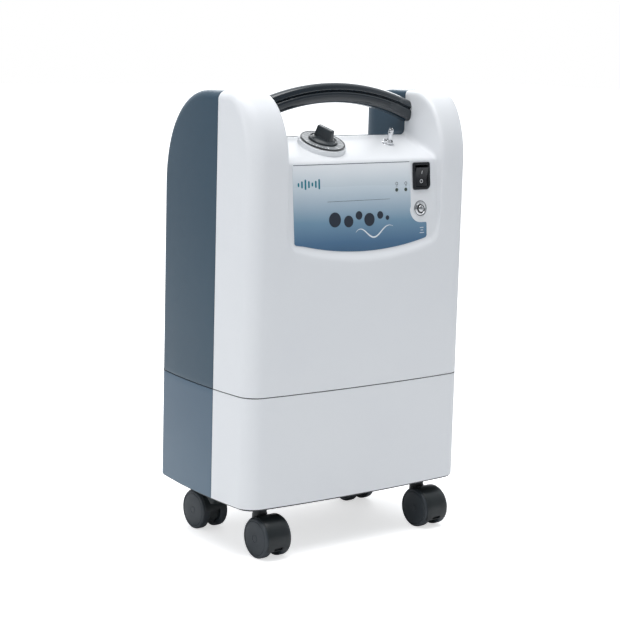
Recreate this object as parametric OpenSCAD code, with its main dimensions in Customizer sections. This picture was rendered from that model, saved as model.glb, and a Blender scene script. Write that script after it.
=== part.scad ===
// Stationary oxygen concentrator: four-shell cabinet on swivel casters.
// Frame: X across the front, -Y is the front, +Z up, origin on the floor
// under the middle of the cabinet. All lengths in millimetres.

/* [Cabinet] */
// Width of the cabinet at its widest plane
body_w = 358; // [350:1:366]
// Depth of the cabinet, front to back
body_d = 230; // [226:1:236]
// Height of the shoulders above the floor
body_top = 588.7; // [582:0.1:594]
// Height of the cabinet's lower edge above the floor
body_bottom = 65; // [64:1:67]
// Height of the seam between the upper and lower covers
seam_z = 211; // [208:1:216]
// Place of the seam between the front and rear covers, front to back
seam_y = -31; // [-33:1:-29]
// Wall thickness of the covers
wall = 3; // [2.6:0.1:3.2]
// Gap left between neighbouring covers
cover_gap = 0.6; // [0.4:0.1:1]

/* [Top] */
// Half width of the valley between the shoulders
valley_half = 124; // [120:1:126]
// Height of the shelf where it meets the seam plane
shelf_z = 529.4; // [528:0.2:533]
// Radius of the arc along the foot of the control recess
recess_arc_r = 400; // [380:5:440]
// Lowest point of the control recess
recess_foot_z = 376; // [370:1:382]

/* [Handle] */
// Radius of the handle's arch along its centre line
handle_r = 326; // [310:1:340]
// Height of the top of the handle at mid span
handle_top = 600; // [596:0.5:602]
// Size of the handle section front to back
handle_t = 28; // [24:0.5:30]
// Height of the handle section
handle_h = 27; // [24:0.5:28]

/* [Controls] */
// Radius of the graduated flow disc
disc_r = 29.5; // [29:0.1:32]
// Forward tilt of the flow dial
dial_tilt = 21; // [18:0.5:23]
// Width of the power switch bezel
switch_w = 29.4; // [27:0.1:31]
// Height of the power switch bezel
switch_h = 36; // [34:0.1:38]
// Stroke of the breaker's reset button
reset_stroke = 2.5; // [2:0.1:3]
// Radius of the outlet's tip that the tubing grips
outlet_tip_r = 3.4; // [3.2:0.05:3.5]

/* [Casters] */
// Radius of each caster wheel
wheel_r = 26; // [25:0.5:26.5]
// Distance from the swivel axis to the axle
caster_trail = 18; // [16:0.5:19]
// Overall width of a twin-wheel caster
caster_w = 40; // [38:0.5:42]
// Swivel axes of the front casters, left and right of the middle
front_caster_x = 132; // [128:1:134]
// Swivel axes of the front casters, front to back
front_caster_y = -74.4; // [-76:0.1:-70]
// Swivel axes of the rear casters, left and right of the middle
rear_caster_x = 127.7; // [124:0.1:132]
// Swivel axes of the rear casters, front to back
rear_caster_y = 40; // [36:1:60]

/* [Hidden] */
$fn = 48;
half_w = body_w / 2;
half_d = body_d / 2;
side_crown = 8;
front_crown = 8;
corner_front = 22;
corner_rear = 14;
front_spring_z = 500;
crest_front_y = -50;
crest_rear_y = -2;
rear_spring_z = 470;
flare_r = 45;
flare_y = 30;
fin_w = 15;
fit = 0.05;
slack = 0.3;
panel_top = [-97.74, 501];
panel_foot = [-107.7, 387];
panel_lean = atan((panel_top[0] - panel_foot[0]) / (panel_top[1] - panel_foot[1]));
rear_reach = 119.8;

dial_at = [-38, -63, 527];
outlet_at = [74.9, -56.5, 519.6];
outlet_tilt = dial_tilt;
hose_at = [outlet_at[0], outlet_at[1] + 20];
plinth_rim = 2;
switch_at = [97.8, 480];
breaker_at = [95.3, 437.3];
breaker_r = 5.6;
button_r = 4.3;
ring_r = 11;
lamp_at = [[55.8, 463.3], [71.2, 463.3]];
rocker_tilt = 8;
rocker_pivot = -6;
knob_turn = 19;
skirt_r = 18.8;
grip = [10, 25, 13.6];
shaft_r = 3;

filter_size = 116;
filter_z = 360;
inlet_at = [-112, 112];
meter_at = [112, 300];
vent_at = [62, 118];
fan_at = [98, 20];
fan_size = 120;
deck_z = 214;
deck_t = 3;
tray_z = 66;
tray_t = 4;
motor_z = 138;
stem_r = 5.5;
axle_r = 3;
socket_r = 10;

CASTERS = ["fl", "fr", "rl", "rr"];

// ---- outlines ----

function arc(c, r, a0, a1, n) =
    [for (i = [0:n]) let (a = a0 + (a1 - a0) * i / n) [c[0] + r * cos(a), c[1] + r * sin(a)]];
function ellipse_arc(c, rx, ry, a0, a1, n) =
    [for (i = [0:n]) let (a = a0 + (a1 - a0) * i / n) [c[0] + rx * cos(a), c[1] + ry * sin(a)]];
function flip(pts) = [for (i = [len(pts) - 1:-1:0]) [-pts[i][0], pts[i][1]]];

function side_x(y) = half_w - side_crown * pow((y - seam_y) / half_d, 2);
function front_y(x) = -half_d + front_crown * pow(x / half_w, 2);

// Plan of the cabinet, pulled in by g: crowned front and sides, round corners.
front_corner = [side_x(-93) - corner_front, front_y(155) + corner_front];
rear_corner = [side_x(100) - corner_rear, half_d - corner_rear];
function plan_half(g) = concat(
    [for (x = [0, 50, 100, 140]) [x, front_y(x) + g]],
    arc(front_corner, corner_front - g, -83, -5, 5),
    [for (y = [-60, seam_y, 0, 50]) [side_x(y) - g, y]],
    arc(rear_corner, corner_rear - g, 8, 90, 4)
);
function plan(g) = concat(plan_half(g), flip([for (p = plan_half(g)) if (p[0] > 0.01) p]));

// Side profile of the shoulders, pulled in by g: a steep front quarter
// ellipse, a short flat crest and a long rear quarter ellipse.
function shoulder(g) = concat(
    [[-half_d + g, body_bottom - 20]],
    ellipse_arc([crest_front_y, front_spring_z], half_d + crest_front_y - g,
                body_top - front_spring_z - g, 180, 90, 9),
    ellipse_arc([crest_rear_y, rear_spring_z], half_d - crest_rear_y - g,
                body_top - rear_spring_z - g, 90, 0, 11),
    [[half_d - g, body_bottom - 20]]
);

// Shelf and control panel seen from the side, from the rear edge to the foot
// of the panel.
// The front part is a plane that falls at the dial's own tilt.
function shelf_at(y) = shelf_z + (y - seam_y) * tan(dial_tilt);
shelf_line = [
    [half_d + 5, 432], [108, 452], [95, 474], [75, 494], [50, 509], [20, 520], [-5, 529], [-16, shelf_z + 2.8],
    [-24, shelf_at(-24)], [-60, shelf_at(-60)], [-88, shelf_at(-88)], [-95.4, shelf_at(-95.4) - 1.2],
    panel_top, panel_foot, [-109, 340]
];
function normal_at(p, i) =
    let (a = p[max(i - 1, 0)], b = p[min(i + 1, len(p) - 1)], t = (b - a) / norm(b - a)) [-t[1], t[0]];
function pushed(p, g) = [for (i = [0:len(p) - 1]) p[i] + g * normal_at(p, i)];
function valley_side(g) = concat(pushed(shelf_line, g), [[-160, 340], [-160, 700], [half_d + 40, 700]]);

foot_c = [0, recess_foot_z + recess_arc_r];
function valley_front(g) = concat(
    arc(foot_c, recess_arc_r + g, 270 - asin((valley_half - 6) / recess_arc_r),
        270 + asin((valley_half - 6) / recess_arc_r), 12),
    [[valley_half + g, 406], [half_w + 20, 440], [half_w + 20, 700]],
    [[-half_w - 20, 700], [-half_w - 20, 440], [-valley_half - g, 406]]
);
function valley_plan_half(g) = concat(
    [[valley_half + g, -160]],
    arc([valley_half + flare_r, flare_y], flare_r - g, 180, 128, 6),
    [[half_w - fin_w + g, 90], [half_w - fin_w + g, 160]]
);
function valley_plan(g) = concat(valley_plan_half(g), flip(valley_plan_half(g)));

module along_x(pts, w) {
    rotate([90, 0, 90]) translate([0, 0, -w / 2]) linear_extrude(w) polygon(pts);
}
module along_y(pts, d) {
    rotate([90, 0, 0]) translate([0, 0, -d / 2]) linear_extrude(d) polygon(pts);
}
module box(lo, hi) {
    translate(lo) cube(hi - lo);
}

// ---- local frames ----

function panel_y(z) =
    panel_top[0] + (panel_top[1] - z) * (panel_foot[0] - panel_top[0]) / (panel_top[1] - panel_foot[1]);
module on_panel(at) {
    translate([at[0], panel_y(at[1]), at[1]]) rotate([90 - panel_lean, 0, 0]) children();
}
module on_dial() {
    translate(dial_at) rotate([dial_tilt, 0, 0]) children();
}
module on_outlet() {
    translate(outlet_at) rotate([outlet_tilt, 0, 0]) children();
}
module on_rear(at) {
    translate([at[0], half_d, at[1]]) rotate([-90, 0, 0]) children();
}

// ---- covers ----

module valley(g) {
    intersection() {
        along_x(valley_side(g), body_w + 40);
        along_y(valley_front(g), 400);
        translate([0, 0, 300]) linear_extrude(420) polygon(valley_plan(g));
    }
}
module cabinet_form(g, z0, z1) {
    difference() {
        intersection() {
            translate([0, 0, z0]) linear_extrude(z1 - z0) polygon(plan(g));
            along_x(shoulder(g), body_w + 40);
        }
        if (z1 > 300) valley(g);
    }
}
module cover_wall(z0, z1) {
    difference() {
        cabinet_form(0, z0, z1);
        cabinet_form(wall, z0 - 1, z1 + 1);
    }
}
module front_half() {
    box([-200, -200, 0], [200, seam_y - cover_gap / 2, 700]);
}
module rear_half() {
    box([-200, seam_y + cover_gap / 2, 0], [200, 200, 700]);
}

module handle_bar(g) {
    arch_c = handle_top - handle_h / 2 - handle_r;
    sweep = 2 * asin((valley_half + 12 + g) / handle_r);
    r = 8;
    w = handle_h / 2 + g;
    t = handle_t / 2 + g;
    section = concat(
        arc([handle_r + w - r, t - r], r, 0, 90, 4), arc([handle_r - w + r, t - r], r, 90, 180, 4),
        arc([handle_r - w + r, -t + r], r, 180, 270, 4), arc([handle_r + w - r, -t + r], r, 270, 360, 4)
    );
    translate([0, seam_y, arch_c]) rotate([90, 0, 0]) rotate([0, 0, 90 - sweep / 2])
        rotate_extrude(angle = sweep, $fn = 180) polygon(section);
}

module screw_spots(list) {
    for (p = list, s = [-1, 1]) translate([s * p[0], 0, p[1]]) children();
}
upper_screws = [[150, 240], [150, 420], [84, 300]];
lower_screws = [[150, 88], [150, 190]];

module front_cover_upper() {
    color([0.81, 0.84, 0.87]) difference() {
        union() {
            intersection() {
                cover_wall(seam_z + cover_gap, 700);
                front_half();
            }
            intersection() {
                on_dial() translate([0, 0, -16]) cylinder(r = disc_r + plinth_rim, h = 13.6);
                front_half();
            }
        }
        on_dial() translate([0, 0, -40]) cylinder(r = shaft_r + fit, h = 60);
        on_outlet() translate([0, 0, -30]) cylinder(r = 4.1, h = 60);
        on_panel(switch_at) translate([-12.9, -15, -20]) cube([25.8, 30, 40]);
        on_panel(breaker_at) translate([0, 0, -20]) cylinder(r = breaker_r + 0.1, h = 40);
        for (p = lamp_at) on_panel(p) translate([0, 0, -20]) cylinder(r = 2.5, h = 40);
        handle_bar(slack);
    }
}
module rear_cover_upper() {
    color([0.28, 0.36, 0.42]) difference() {
        intersection() {
            cover_wall(seam_z + cover_gap, 700);
            rear_half();
        }
        on_rear([0, filter_z]) translate([0, 0, -10])
            linear_extrude(20) square(filter_size + 0.6, center = true);
        on_rear(meter_at) translate([0, 0, -10]) linear_extrude(20) square([34.4, 16.4], center = true);
        screw_spots(upper_screws) translate([0, half_d + 5, 0]) rotate([90, 0, 0])
            cylinder(r = 4.1, h = 20);
        handle_bar(slack);
    }
}
module front_cover_lower() {
    color([0.81, 0.84, 0.87]) intersection() {
        cover_wall(body_bottom, seam_z - cover_gap);
        front_half();
    }
}
module rear_cover_lower() {
    color([0.34, 0.43, 0.5]) difference() {
        intersection() {
            cover_wall(body_bottom, seam_z - cover_gap);
            rear_half();
        }
        on_rear(inlet_at) translate([0, 0, -10]) linear_extrude(20) square([32.6, 24.6], center = true);
        on_rear(vent_at) translate([0, 0, -10]) linear_extrude(20) square([100.6, 48.6], center = true);
        screw_spots(lower_screws) translate([0, half_d + 5, 0]) rotate([90, 0, 0])
            cylinder(r = 4.1, h = 20);
    }
}
module seam_gasket() {
    color([0.12, 0.13, 0.14]) translate([0, 0, seam_z - cover_gap + 0.1])
        linear_extrude(2 * cover_gap - 0.2) difference() {
            polygon(plan(1));
            polygon(plan(wall));
        }
}
module cover_screws() {
    color([0.6, 0.6, 0.62]) screw_spots(concat(upper_screws, lower_screws))
        translate([0, half_d - 1, 0]) rotate([90, 0, 0]) difference() {
            union() {
                cylinder(r = 4, h = 2);
                cylinder(r = 2, h = 14);
            }
            for (a = [0, 90]) rotate([0, 0, a]) translate([-2.4, -0.4, -1]) cube([4.8, 0.8, 2]);
        }
}

// ---- chassis ----

module caster_spots() {
    for (s = [-1, 1]) {
        translate([s * front_caster_x, front_caster_y, 0]) children();
        translate([s * rear_caster_x, rear_caster_y, 0]) children();
    }
}
motor_feet = [[-52, -32], [52, -32], [-52, 36], [52, 36]];

module base_tray() {
    color([0.3, 0.31, 0.33]) difference() {
        translate([0, 0, tray_z]) union() {
            linear_extrude(tray_t) polygon(plan(wall + slack));
            linear_extrude(16) difference() {
                polygon(plan(wall + slack));
                polygon(plan(wall + 3));
            }
        }
        caster_spots() cylinder(r = socket_r + 0.1, h = 200);
        for (p = motor_feet) translate([p[0], p[1], 0]) cylinder(r = 3, h = 200);
    }
}
module caster_sockets() {
    color([0.55, 0.56, 0.58]) caster_spots() difference() {
        union() {
            translate([0, 0, 62]) cylinder(r = socket_r, h = 30);
            translate([0, 0, tray_z + tray_t]) cylinder(r = 14, h = 3);
        }
        translate([0, 0, 60]) cylinder(r = stem_r + fit, h = 28);
    }
}
module middle_deck() {
    color([0.3, 0.31, 0.33]) translate([0, 0, deck_z]) linear_extrude(deck_t) difference() {
        polygon(plan(wall + slack));
        translate(fan_at) circle(r = 56);
        translate([-60, 80]) square([40, 12], center = true);
    }
}
module carry_handle() {
    color([0.11, 0.15, 0.18]) handle_bar(0);
}
module handle_brackets() {
    color([0.55, 0.56, 0.58]) for (s = [-1, 1]) {
        translate([s * 147, seam_y, 552]) difference() {
            cube([3, 44, 40], center = true);
            for (y = [-16, 16]) translate([-5, y, 0]) rotate([0, 90, 0]) cylinder(r = 2.2, h = 10);
        }
        translate([s * 147, seam_y, 552]) rotate([0, -s * 90, 0]) cylinder(r = 6, h = 5);
    }
}

// ---- controls ----

function label_outline() = concat(
    [[-111.5, 402]],
    arc([0, 387 + 440], 440, 270 - 14, 270 + 13.6, 14),
    [[105.5, 418.5], [95.3, 419.4]],
    arc(breaker_at, 17.8, 270, 180, 5),
    [[79, 441], [79, 500], [-111.5, 500]]
);
module control_label() {
    mid = 442;
    color([0.3, 0.4, 0.52]) on_panel([0, mid]) translate([0, 0, 0.02]) linear_extrude(0.5) difference() {
        translate([0, -mid]) polygon(label_outline());
        for (p = lamp_at) translate([p[0], p[1] - mid]) circle(r = 2.7);
    }
}
module switch_frame() {
    color([0.08, 0.08, 0.09]) on_panel(switch_at) difference() {
        union() {
            linear_extrude(2) square([switch_w, switch_h], center = true);
            translate([0, 0, -18]) linear_extrude(18) square([25.6, 29.8], center = true);
        }
        translate([0, 0, -15]) linear_extrude(20) square([21.6, 28.4], center = true);
        translate([-12, 0, rocker_pivot]) rotate([0, 90, 0]) cylinder(r = 1.5 + fit, h = 24);
    }
}
rocker_profile = [
    [-12.3, -8.5], [12.3, -8.5], [12.3, 3], [6, 1.2], [0, 0.6], [-6, 1.2], [-12.3, 3]
];
module rocker() {
    color([0.05, 0.05, 0.06]) on_panel(switch_at)
        translate([0, 0, rocker_pivot]) rotate([rocker_tilt, 0, 0]) union() {
            translate([0, 0, -rocker_pivot]) along_x(rocker_profile, 21);
            translate([-11.8, 0, 0]) rotate([0, 90, 0]) cylinder(r = 1.5, h = 23.6);
        }
}
module breaker_body() {
    color([0.12, 0.12, 0.13]) on_panel(breaker_at) difference() {
        union() {
            translate([-8, -8, -34]) cube([16, 16, 28]);
            translate([0, 0, -6]) cylinder(r = breaker_r, h = 8);
        }
        translate([0, 0, -12]) cylinder(r = button_r + fit, h = 20);
    }
}
module breaker_nut() {
    color([0.75, 0.76, 0.78]) on_panel(breaker_at) difference() {
        union() {
            cylinder(r = ring_r, h = 1);
            cylinder(r = 7.9, h = 2.4);
        }
        translate([0, 0, -1]) cylinder(r = breaker_r + 0.06, h = 5);
    }
}
module reset_button() {
    color([0.8, 0.81, 0.83]) on_panel(breaker_at) translate([0, 0, -9]) cylinder(r = button_r, h = 12.6);
}
module indicator_lamps() {
    color([0.35, 0.6, 0.45]) for (p = lamp_at) on_panel(p) union() {
        translate([0, 0, -8]) cylinder(r = 2.4, h = 9);
        translate([0, 0, -9]) cylinder(r = 3.2, h = 2);
    }
}
module dial_disc() {
    color([0.04, 0.05, 0.06]) on_dial() translate([0, 0, -1.8]) difference() {
        cylinder(r = disc_r, h = 1.8);
        translate([0, 0, -1]) cylinder(r = shaft_r + fit, h = 4);
    }
}
module dial_knob() {
    color([0.07, 0.08, 0.1]) on_dial() union() {
        translate([0, 0, -34]) cylinder(r = shaft_r, h = 35);
        cylinder(r = skirt_r, h = 4);
        rotate([0, 0, knob_turn]) translate([0, 0, 3.9]) linear_extrude(grip[2])
            square([grip[0], grip[1]], center = true);
    }
}
module flow_valve() {
    color([0.6, 0.5, 0.3]) on_dial() difference() {
        union() {
            translate([0, 0, -44]) cylinder(r = 15, h = 22);
            translate([0, -18, -38]) rotate([90, 0, 0]) cylinder(r = 3, h = 10);
            translate([0, -10, -38]) rotate([90, 0, 0]) cylinder(r = 5, h = 12);
        }
        translate([0, 0, -36]) cylinder(r = shaft_r + fit, h = 40);
    }
}
module outlet_fitting() {
    color([0.8, 0.81, 0.83]) on_outlet() rotate_extrude() polygon([
        [1.25, -18], [4, -18], [4, 5.4], [2.5, 6], [2.5, 13.6], [outlet_tip_r, 14.6],
        [outlet_tip_r, 20.6], [2.6, 22], [1.25, 22]
    ]);
}
module outlet_nut() {
    color([0.72, 0.73, 0.75]) on_outlet() difference() {
        translate([0, 0, 0.4]) union() {
            cylinder(r = 8, h = 0.8);
            translate([0, 0, 0.8]) cylinder(r = 7.2, h = 3.4, $fn = 6);
        }
        translate([0, 0, -1]) cylinder(r = 4.06, h = 8);
    }
}

// ---- rear fittings ----

module power_inlet() {
    color([0.06, 0.06, 0.07]) on_rear(inlet_at) difference() {
        union() {
            linear_extrude(2) square([50, 28], center = true);
            translate([0, 0, -22]) linear_extrude(22) square([32, 24], center = true);
        }
        translate([0, 0, -17]) linear_extrude(30) square([24.6, 17], center = true);
        for (s = [-1, 1]) translate([s * 20, 0, -1]) cylinder(r = 1.7, h = 5);
    }
    color([0.75, 0.76, 0.78]) on_rear(inlet_at) for (p = [[-7, 2], [0, -2], [7, 2]])
        translate([p[0] - 1, p[1] - 2, -17]) cube([2, 4, 10]);
}
module hour_meter() {
    color([0.1, 0.1, 0.11]) on_rear(meter_at) union() {
        translate([0, 0, -20]) linear_extrude(20) square([34, 16], center = true);
        linear_extrude(1.6) square([39, 21], center = true);
    }
}
module exhaust_grille() {
    color([0.15, 0.16, 0.18]) on_rear(vent_at) difference() {
        union() {
            translate([0, 0, -2]) linear_extrude(2) square([100, 48], center = true);
            linear_extrude(1.6) square([110, 58], center = true);
        }
        for (i = [-4:4]) translate([i * 10.4 - 2.6, -20, -5]) cube([5.2, 40, 10]);
    }
}
module filter_frame() {
    color([0.2, 0.26, 0.31]) on_rear([0, filter_z]) difference() {
        union() {
            translate([0, 0, -12]) linear_extrude(12) square(filter_size, center = true);
            linear_extrude(rear_reach - half_d) square(filter_size + 16, center = true);
        }
        translate([0, 0, -9]) linear_extrude(30) square(filter_size - 8, center = true);
        for (i = [-3:3]) translate([i * 14 - 5, -48, -20]) cube([10, 96, 20]);
    }
}
module cabinet_filter() {
    color([0.1, 0.1, 0.11]) on_rear([0, filter_z]) union() {
        translate([0, 0, -8.8]) linear_extrude(11) square(filter_size - 8.8, center = true);
        translate([0, -44, 2]) linear_extrude(2.4) square([26, 8], center = true);
    }
}

// ---- air and electrics inside ----

module fan_frame() {
    color([0.1, 0.1, 0.11]) translate([fan_at[0], fan_at[1], deck_z + deck_t]) difference() {
        linear_extrude(25) square(fan_size, center = true);
        translate([0, 0, 3]) cylinder(r = 56, h = 40);
        translate([0, 0, -1]) linear_extrude(10) difference() {
            circle(r = 56);
            circle(r = 22);
            square([120, 5], center = true);
            square([5, 120], center = true);
        }
        translate([0, 0, -1]) cylinder(r = 2 + fit, h = 10);
        for (x = [-52.5, 52.5], y = [-52.5, 52.5]) translate([x, y, -1]) cylinder(r = 2.2, h = 40);
    }
}
module fan_impeller() {
    color([0.16, 0.16, 0.18]) translate([fan_at[0], fan_at[1], deck_z + deck_t]) union() {
        translate([0, 0, 4]) cylinder(r = 20, h = 19);
        translate([0, 0, 0.5]) cylinder(r = 2, h = 4);
        for (a = [0:360 / 7:359]) rotate([0, 0, a])
            translate([0, 36, 13]) rotate([0, 32, 0]) cube([22, 36, 2], center = true);
    }
}
beds_at = [[-118, 42], [-22, 50]];
bed_r = 40;
bed_z0 = deck_z + deck_t + 10;
bed_h = 220;
module sieve_beds() {
    color([0.7, 0.71, 0.73]) for (p = beds_at) translate([p[0], p[1], bed_z0])
        cylinder(r = bed_r, h = bed_h);
}
module bed_caps() {
    color([0.3, 0.31, 0.33]) for (p = beds_at, z = [0, 1])
        translate([p[0], p[1], z == 0 ? bed_z0 - 10 : bed_z0 + bed_h]) cylinder(r = bed_r + 3, h = 10);
}
module valve_manifold() {
    mz = bed_z0 + bed_h + 10;
    color([0.65, 0.66, 0.68]) union() {
        box([-140, 24, mz], [4, 64, mz + 12]);
        for (x = [-124, -100, -40, -16]) translate([x, 44, mz + 11]) cylinder(r = 8, h = 13);
    }
}
module product_tank() {
    color([0.75, 0.76, 0.78]) union() {
        translate([100, 50, deck_z + 90]) cylinder(r = 33, h = 130);
        translate([100, 50, deck_z + 219]) cylinder(r = 6, h = 16);
        box([70, 82, deck_z + deck_t], [130, 85, deck_z + 220]);
    }
}
module bacteria_filter() {
    color([0.9, 0.92, 0.94]) translate([hose_at[0], hose_at[1], 440]) union() {
        cylinder(r = 22, h = 12);
        translate([0, 0, -10]) cylinder(r = 3.5, h = 32);
    }
}
module oxygen_hose() {
    turn = 36;
    bend = 14;
    rise = 14.3;
    color([0.75, 0.8, 0.82]) translate([hose_at[0], hose_at[1], 462.3]) union() {
        cylinder(r = 4, h = rise);
        translate([0, -bend, rise]) rotate([90, 0, 90]) rotate_extrude(angle = turn)
            translate([bend, 0]) circle(r = 4);
        translate([0, -bend * (1 - cos(turn)), rise + bend * sin(turn)]) rotate([turn, 0, 0])
            cylinder(r = 4, h = 18);
    }
}
module heat_exchanger() {
    color([0.72, 0.45, 0.3]) translate([98, -62, 226]) union() {
        for (i = [0:9]) translate([-36 + i * 8, -8, 0]) cube([1.2, 26, 56]);
        for (z = [10, 28, 46]) translate([-38, 4, z]) rotate([0, 90, 0]) cylinder(r = 4, h = 76);
    }
}
module control_board() {
    color([0.1, 0.35, 0.2]) union() {
        box([-100, -84, 290], [40, -82, 400]);
        for (x = [-88, -60, -32, -4]) box([x, -82.2, 310], [x + 16, -74, 334]);
        translate([20, -82.2, 360]) rotate([-90, 0, 0]) cylinder(r = 8, h = 16);
        for (x = [-94, 34], z = [296, 394]) translate([x, -92, z]) rotate([-90, 0, 0]) cylinder(r = 3, h = 9);
    }
}
module intake_silencer() {
    color([0.16, 0.17, 0.19]) translate([-60, -52, deck_z + deck_t]) union() {
        cylinder(r = 24, h = 64);
        translate([0, 0, 63]) cylinder(r = 7, h = 10);
    }
}

// ---- compressor ----

module lying(r, x0, x1) {
    translate([x0, 0, motor_z]) rotate([0, 90, 0]) cylinder(r = r, h = x1 - x0);
}
module compressor_motor() {
    color([0.35, 0.37, 0.4]) difference() {
        union() {
            lying(44, -36, 36);
            box([-90, -38, motor_z - 46], [90, 42, motor_z - 42]);
            box([-36, -38, motor_z - 46], [36, 42, motor_z - 34]);
        }
        lying(30.5, -33, 33);
        lying(5 + fit, -60, 60);
    }
}
module compressor_rotor() {
    color([0.6, 0.61, 0.63]) union() {
        lying(5, -46, 46);
        lying(30, -28, 28);
        for (s = [-1, 1]) for (a = [0:45:359]) translate([s * 41, 0, motor_z]) rotate([a, 0, 0])
            translate([0, 14, 0]) cube([6, 24, 2], center = true);
        for (s = [-1, 1]) translate([s * 41, 0, motor_z]) rotate([0, 90, 0])
            cylinder(r = 8, h = 6, center = true);
    }
}
module compressor_heads() {
    color([0.55, 0.57, 0.6]) for (s = [-1, 1]) translate([s * 67, 0, motor_z]) difference() {
        union() {
            translate([-17, -28, -41.9]) cube([34, 56, 72]);
            for (z = [31.5, 37]) translate([0, 0, z]) cube([42, 60, 3], center = true);
            translate([0, 0, 33]) cube([30, 50, 12], center = true);
        }
        rotate([0, 90, 0]) cylinder(r = 22, h = 25, center = true);
    }
}
module compressor_mounts() {
    color([0.08, 0.08, 0.09]) for (p = motor_feet) translate([p[0], p[1], tray_z + tray_t])
        cylinder(r = 9, h = motor_z - 46 - tray_z - tray_t);
}
module run_capacitor() {
    color([0.75, 0.75, 0.77]) translate([-60, 80, tray_z + tray_t]) union() {
        cylinder(r = 19, h = 84);
        for (x = [-6, 6]) translate([x - 3, -0.5, 83]) cube([6, 1, 9]);
    }
}

// ---- casters ----

function caster_x(i) = (i % 2 == 0 ? -1 : 1) * (i < 2 ? front_caster_x : rear_caster_x);
function caster_y(i) = i < 2 ? front_caster_y : rear_caster_y;
hood_r = wheel_r + 1.4;
wheel_gap = 8.5;

// Local frame of a caster: swivel axis at the origin, axle ahead along -Y.
// The rear casters are turned to trail backwards.
module at_caster(i) {
    translate([caster_x(i), caster_y(i), 0]) if (i < 2) children(); else mirror([0, 1, 0]) children();
}
module at_axle() {
    translate([0, -caster_trail, wheel_r]) children();
}
module across(r, x0, x1) {
    translate([x0, 0, 0]) rotate([0, 90, 0]) cylinder(r = r, h = x1 - x0);
}
module caster_hood(i) {
    span = caster_w / 2 - 3.4;
    color([0.09, 0.1, 0.11]) at_caster(i) difference() {
        union() {
            at_axle() intersection() {
                across(hood_r, -span, span);
                along_x([[60, 60], [-60, 60], [-60, -34], [0, 0], [60, 8]], 80);
            }
            at_axle() across(21, -wheel_gap + 0.5, wheel_gap - 0.5);
            translate([0, 0, wheel_r + 8]) cylinder(r = 9, h = 60.8 - wheel_r - 8);
        }
        at_axle() for (s = [-1, 1]) rotate([0, 90 * s, 0]) translate([0, 0, wheel_gap - 0.5])
            cylinder(r = wheel_r + 0.35, h = 30);
        at_axle() across(axle_r + fit, -30, 30);
        translate([0, 0, wheel_r + 12]) cylinder(r = stem_r + fit, h = 40);
    }
}
module caster_pins(i) {
    color([0.7, 0.71, 0.73]) at_caster(i) union() {
        translate([0, 0, wheel_r + 12]) cylinder(r = stem_r, h = 86 - wheel_r - 12);
        at_axle() across(axle_r, -caster_w / 2 + 2, caster_w / 2 - 2);
    }
}
module caster_wheel(i, s) {
    w = caster_w / 2;
    color([0.16, 0.18, 0.2]) at_caster(i) at_axle() rotate([0, 90 * s, 0]) rotate_extrude()
        polygon([
            [axle_r + fit, wheel_gap], [wheel_r - 1, wheel_gap], [wheel_r, wheel_gap + 1],
            [wheel_r, w - 2.5], [wheel_r - 1.2, w - 0.6], [wheel_r - 3, w], [0, w], [0, w - 1.6],
            [axle_r + fit, w - 1.6]
        ]);
}

front_cover_upper();
rear_cover_upper();
front_cover_lower();
rear_cover_lower();
seam_gasket();
base_tray();
middle_deck();
cover_screws();
carry_handle();
handle_brackets();
control_label();
switch_frame();
rocker();
breaker_body();
breaker_nut();
reset_button();
indicator_lamps();
dial_disc();
dial_knob();
flow_valve();
outlet_fitting();
outlet_nut();
power_inlet();
hour_meter();
exhaust_grille();
filter_frame();
cabinet_filter();
fan_frame();
fan_impeller();
sieve_beds();
bed_caps();
product_tank();
valve_manifold();
bacteria_filter();
heat_exchanger();
control_board();
intake_silencer();
compressor_motor();
compressor_heads();
compressor_rotor();
compressor_mounts();
run_capacitor();
oxygen_hose();
caster_sockets();
for (i = [0:3]) {
    caster_hood(i);
    caster_pins(i);
    caster_wheel(i, -1);
    caster_wheel(i, 1);
}
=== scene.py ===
# Oxygen concentrator: smooth shells, handle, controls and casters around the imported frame.
import math

import bmesh
import bpy
import numpy as np
from mathutils import Matrix, Vector


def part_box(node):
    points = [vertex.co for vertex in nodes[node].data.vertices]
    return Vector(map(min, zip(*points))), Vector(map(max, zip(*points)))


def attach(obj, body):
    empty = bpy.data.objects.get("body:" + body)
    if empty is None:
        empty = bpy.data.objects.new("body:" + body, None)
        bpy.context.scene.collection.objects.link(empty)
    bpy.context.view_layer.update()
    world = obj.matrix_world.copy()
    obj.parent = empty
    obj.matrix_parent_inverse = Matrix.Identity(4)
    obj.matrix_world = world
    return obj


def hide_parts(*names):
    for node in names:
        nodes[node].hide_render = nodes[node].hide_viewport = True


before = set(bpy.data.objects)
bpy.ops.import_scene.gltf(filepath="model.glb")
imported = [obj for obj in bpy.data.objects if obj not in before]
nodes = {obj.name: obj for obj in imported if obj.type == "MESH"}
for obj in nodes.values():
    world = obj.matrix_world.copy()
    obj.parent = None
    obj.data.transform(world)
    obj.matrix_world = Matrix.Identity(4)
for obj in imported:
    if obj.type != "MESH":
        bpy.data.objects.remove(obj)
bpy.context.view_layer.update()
scene = bpy.context.scene
mm = 0.001
print("frame loaded:", len(nodes), "nodes")

cameraPlace = {"at": (-1.3533, -1.7771, 0.6701), "yaw": 0.6491, "pitch": 0.14844, "roll": 0.02696, "lens": 97.99,
               "shiftY": -0.05}


def addObject(name, data):
    obj = bpy.data.objects.new(name, data)
    scene.collection.objects.link(obj)
    return obj


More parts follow.
